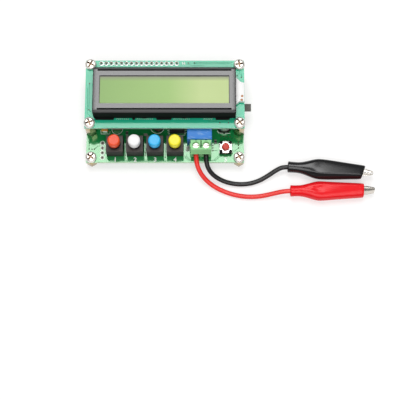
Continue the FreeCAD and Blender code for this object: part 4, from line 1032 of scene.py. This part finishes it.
DISPLAY_TRACKS = [
    [(14.9, 24), (34, 24)], [(14.9, 23.3), (33.2, 23.3)], [(11.8, 23.6), (13.2, 22.2), (20, 22.2)],
    [(21.6, -6.9), (32.6, -6.9), (34.6, -5.2), (36.4, -5.2)], [(21.8, -7.7), (33.2, -7.7), (35.6, -5.6)],
    [(27.6, -8.3), (27.6, -7.7)], [(31.9, -8.3), (31.9, -7.7)],
    [(-37.9, 12.6), (-37.9, -1.4), (-36.6, -2.7)], [(-38.7, 10.4), (-38.7, -3.4), (-36.6, -5.4)],
    [(36.4, 16.7), (37.6, 17.9), (37.6, 19.2)], [(38.6, 15.9), (38.6, 18.4)]]
pressed_lines("main_tracks", MAIN_TRACKS, 0.26, DECK, 0.03, "main_track_lacquer", "board_green")
pressed_lines("display_tracks", DISPLAY_TRACKS, 0.22, DISPLAY_TOP, 0.03, "display_track_lacquer",
              "display_green")

PADS = [(-31.8, y) for y in (-14.9, -17.44, -19.98, -22.52)]
MAIN_MARKS = [
    [(-32.9, -8), (-32.6, -9.9), (-28.3, -9.9), (-28.1, -8.4)], arc(-24.5, -7.4, 2.75, 160, 380),
    [(26.4, -8.2), (27.3, -9.5), (33.1, -9.6)], arc(-4, -6.2, 3.5, 200, 340),
    [(2, -9.4), (2, -10.6), (10, -10.6), (10, -9.4)],
    [(10.4, -19.4), (12.4, -19.4), (12.4, -16.4), (10.4, -16.4), (10.4, -19.4)]]
MAIN_MARKS += [arc(x, y, 1.12, 0, 360) for x, y in PADS]
pressed_lines("main_marks", MAIN_MARKS, 0.3, DECK, 0.035, "marking_white", "white_plastic")
DASHES, DASH_STEP = [(-24, -17.2), (-13.8, -5.2), (4.6, 14), (19.6, 24.6)], 0.95
DISPLAY_MARKS = []
for x0, x1 in DASHES:
    starts = [x0 + DASH_STEP * i for i in range(int((x1 - x0) / DASH_STEP))]
    DISPLAY_MARKS += [[(x, -6.55), (x + 0.35, -6.05)] for x in starts]
pressed_lines("display_marks", DISPLAY_MARKS, 0.18, DISPLAY_TOP, 0.035, "marking_white", "white_plastic")

# %% [markdown]
# Plated holes are tiny rings with a dark middle. From here only the dark shows, so each is spun as a low spot
# of painted shade. The wider pads are spun with a tinned rim round a shallow dip, whose middle has the same
# painted shade.

# %% Plated holes and pads
MAIN_HOLES = [
    (28.34, -11.34), (29.9, -11.34), (31.43, -11.34), (32.97, -11.34), (37.2, -14.44), (37.25, -15.9),
    (37.3, -17.4), (24.2, -16.04), (24.2, -17.4), (24.2, -18.8), (-38.57, -18.07), (-37.1, -18.07),
    (-35.93, -18.07), (-20.05, -21.3), (-20.05, -22.75), (-9.98, -19.9), (-9.98, -21.3), (0.1, -22.5)]
DISPLAY_HOLES = [
    (11.78, 23.58), (14.86, 23.69), (36.38, 16.7), (38.59, 15.94), (-37.92, 12.61), (-37.95, -1.44),
    (27.58, -8.32), (31.92, -8.32)]
SPOT = [(0.36, 0), (0.33, 0.03), (0, 0.035)]
PAD = [(0.8, 0), (0.78, 0.04), (0.52, 0.045), (0.5, 0.02), (0, 0.02)]
bm = turned((lifted(SPOT, DECK), MAIN_HOLES, 12), (lifted(SPOT, DISPLAY_TOP), DISPLAY_HOLES, 12),
            (lifted(PAD, DECK), PADS, 20))
# Hole spots and pad dips get painted shade; the pad rims are tin.
second_finish(bm, lambda p: not 0.51 < min(math.dist(p.xy, pad) for pad in PADS) < 1.0)
piece(bm, "plated_holes", "bright_steel", ["dull_tin", "painted_hole_shade"])

# %% [markdown]
# The white lug beside the display carries its light source on two solder spots.

# %% Lug solder
LUG_SPOT = [(0.62, 21.84), (0.6, 21.92), (0.36, 22.08), (0, 22.12)]
piece(turned((LUG_SPOT, [(38.75, 4.9), (38.5, 2.9)], 16)), "lug_solder", "bright_steel", ["copper"])

# %% [markdown]
# Plain numbers name the keys, the test button and the end of the pin row. Text starts as a curve, is made a
# mesh while it still lies at the origin, and is then laid on the board.

# %% Numbers
NUMBER_Y, NUMBER_SIZE = -24.6, 3.1


def numbers(name, labels, floor):
    bm = bmesh.new()
    for text, x, y, size in labels:
        curve = bpy.data.curves.new(name, "FONT")
        curve.body = text
        curve.size = size * MM
        curve.align_x = "CENTER"
        curve.extrude = 0.02 * MM
        curve.offset = 0.03 * size * MM
        lay_in(bm, as_mesh(in_scene(name, curve)), Matrix.Translation(Vector((x, y, floor + 0.025)) * MM))
    piece(bm, name, "white_plastic", ["marking_white"])


NUMBER_X = [x for x, _, _ in KEYS] + [BUTTON[0]]
KEY_LABELS = [(str(n), x, NUMBER_Y, NUMBER_SIZE) for n, x in enumerate(NUMBER_X, 1)]
numbers("key_numbers", KEY_LABELS, DECK)
numbers("row_number", [("16", 9.3, 22.9, 1.9)], DISPLAY_TOP)

# %% Finish
bpy.context.view_layer.update()
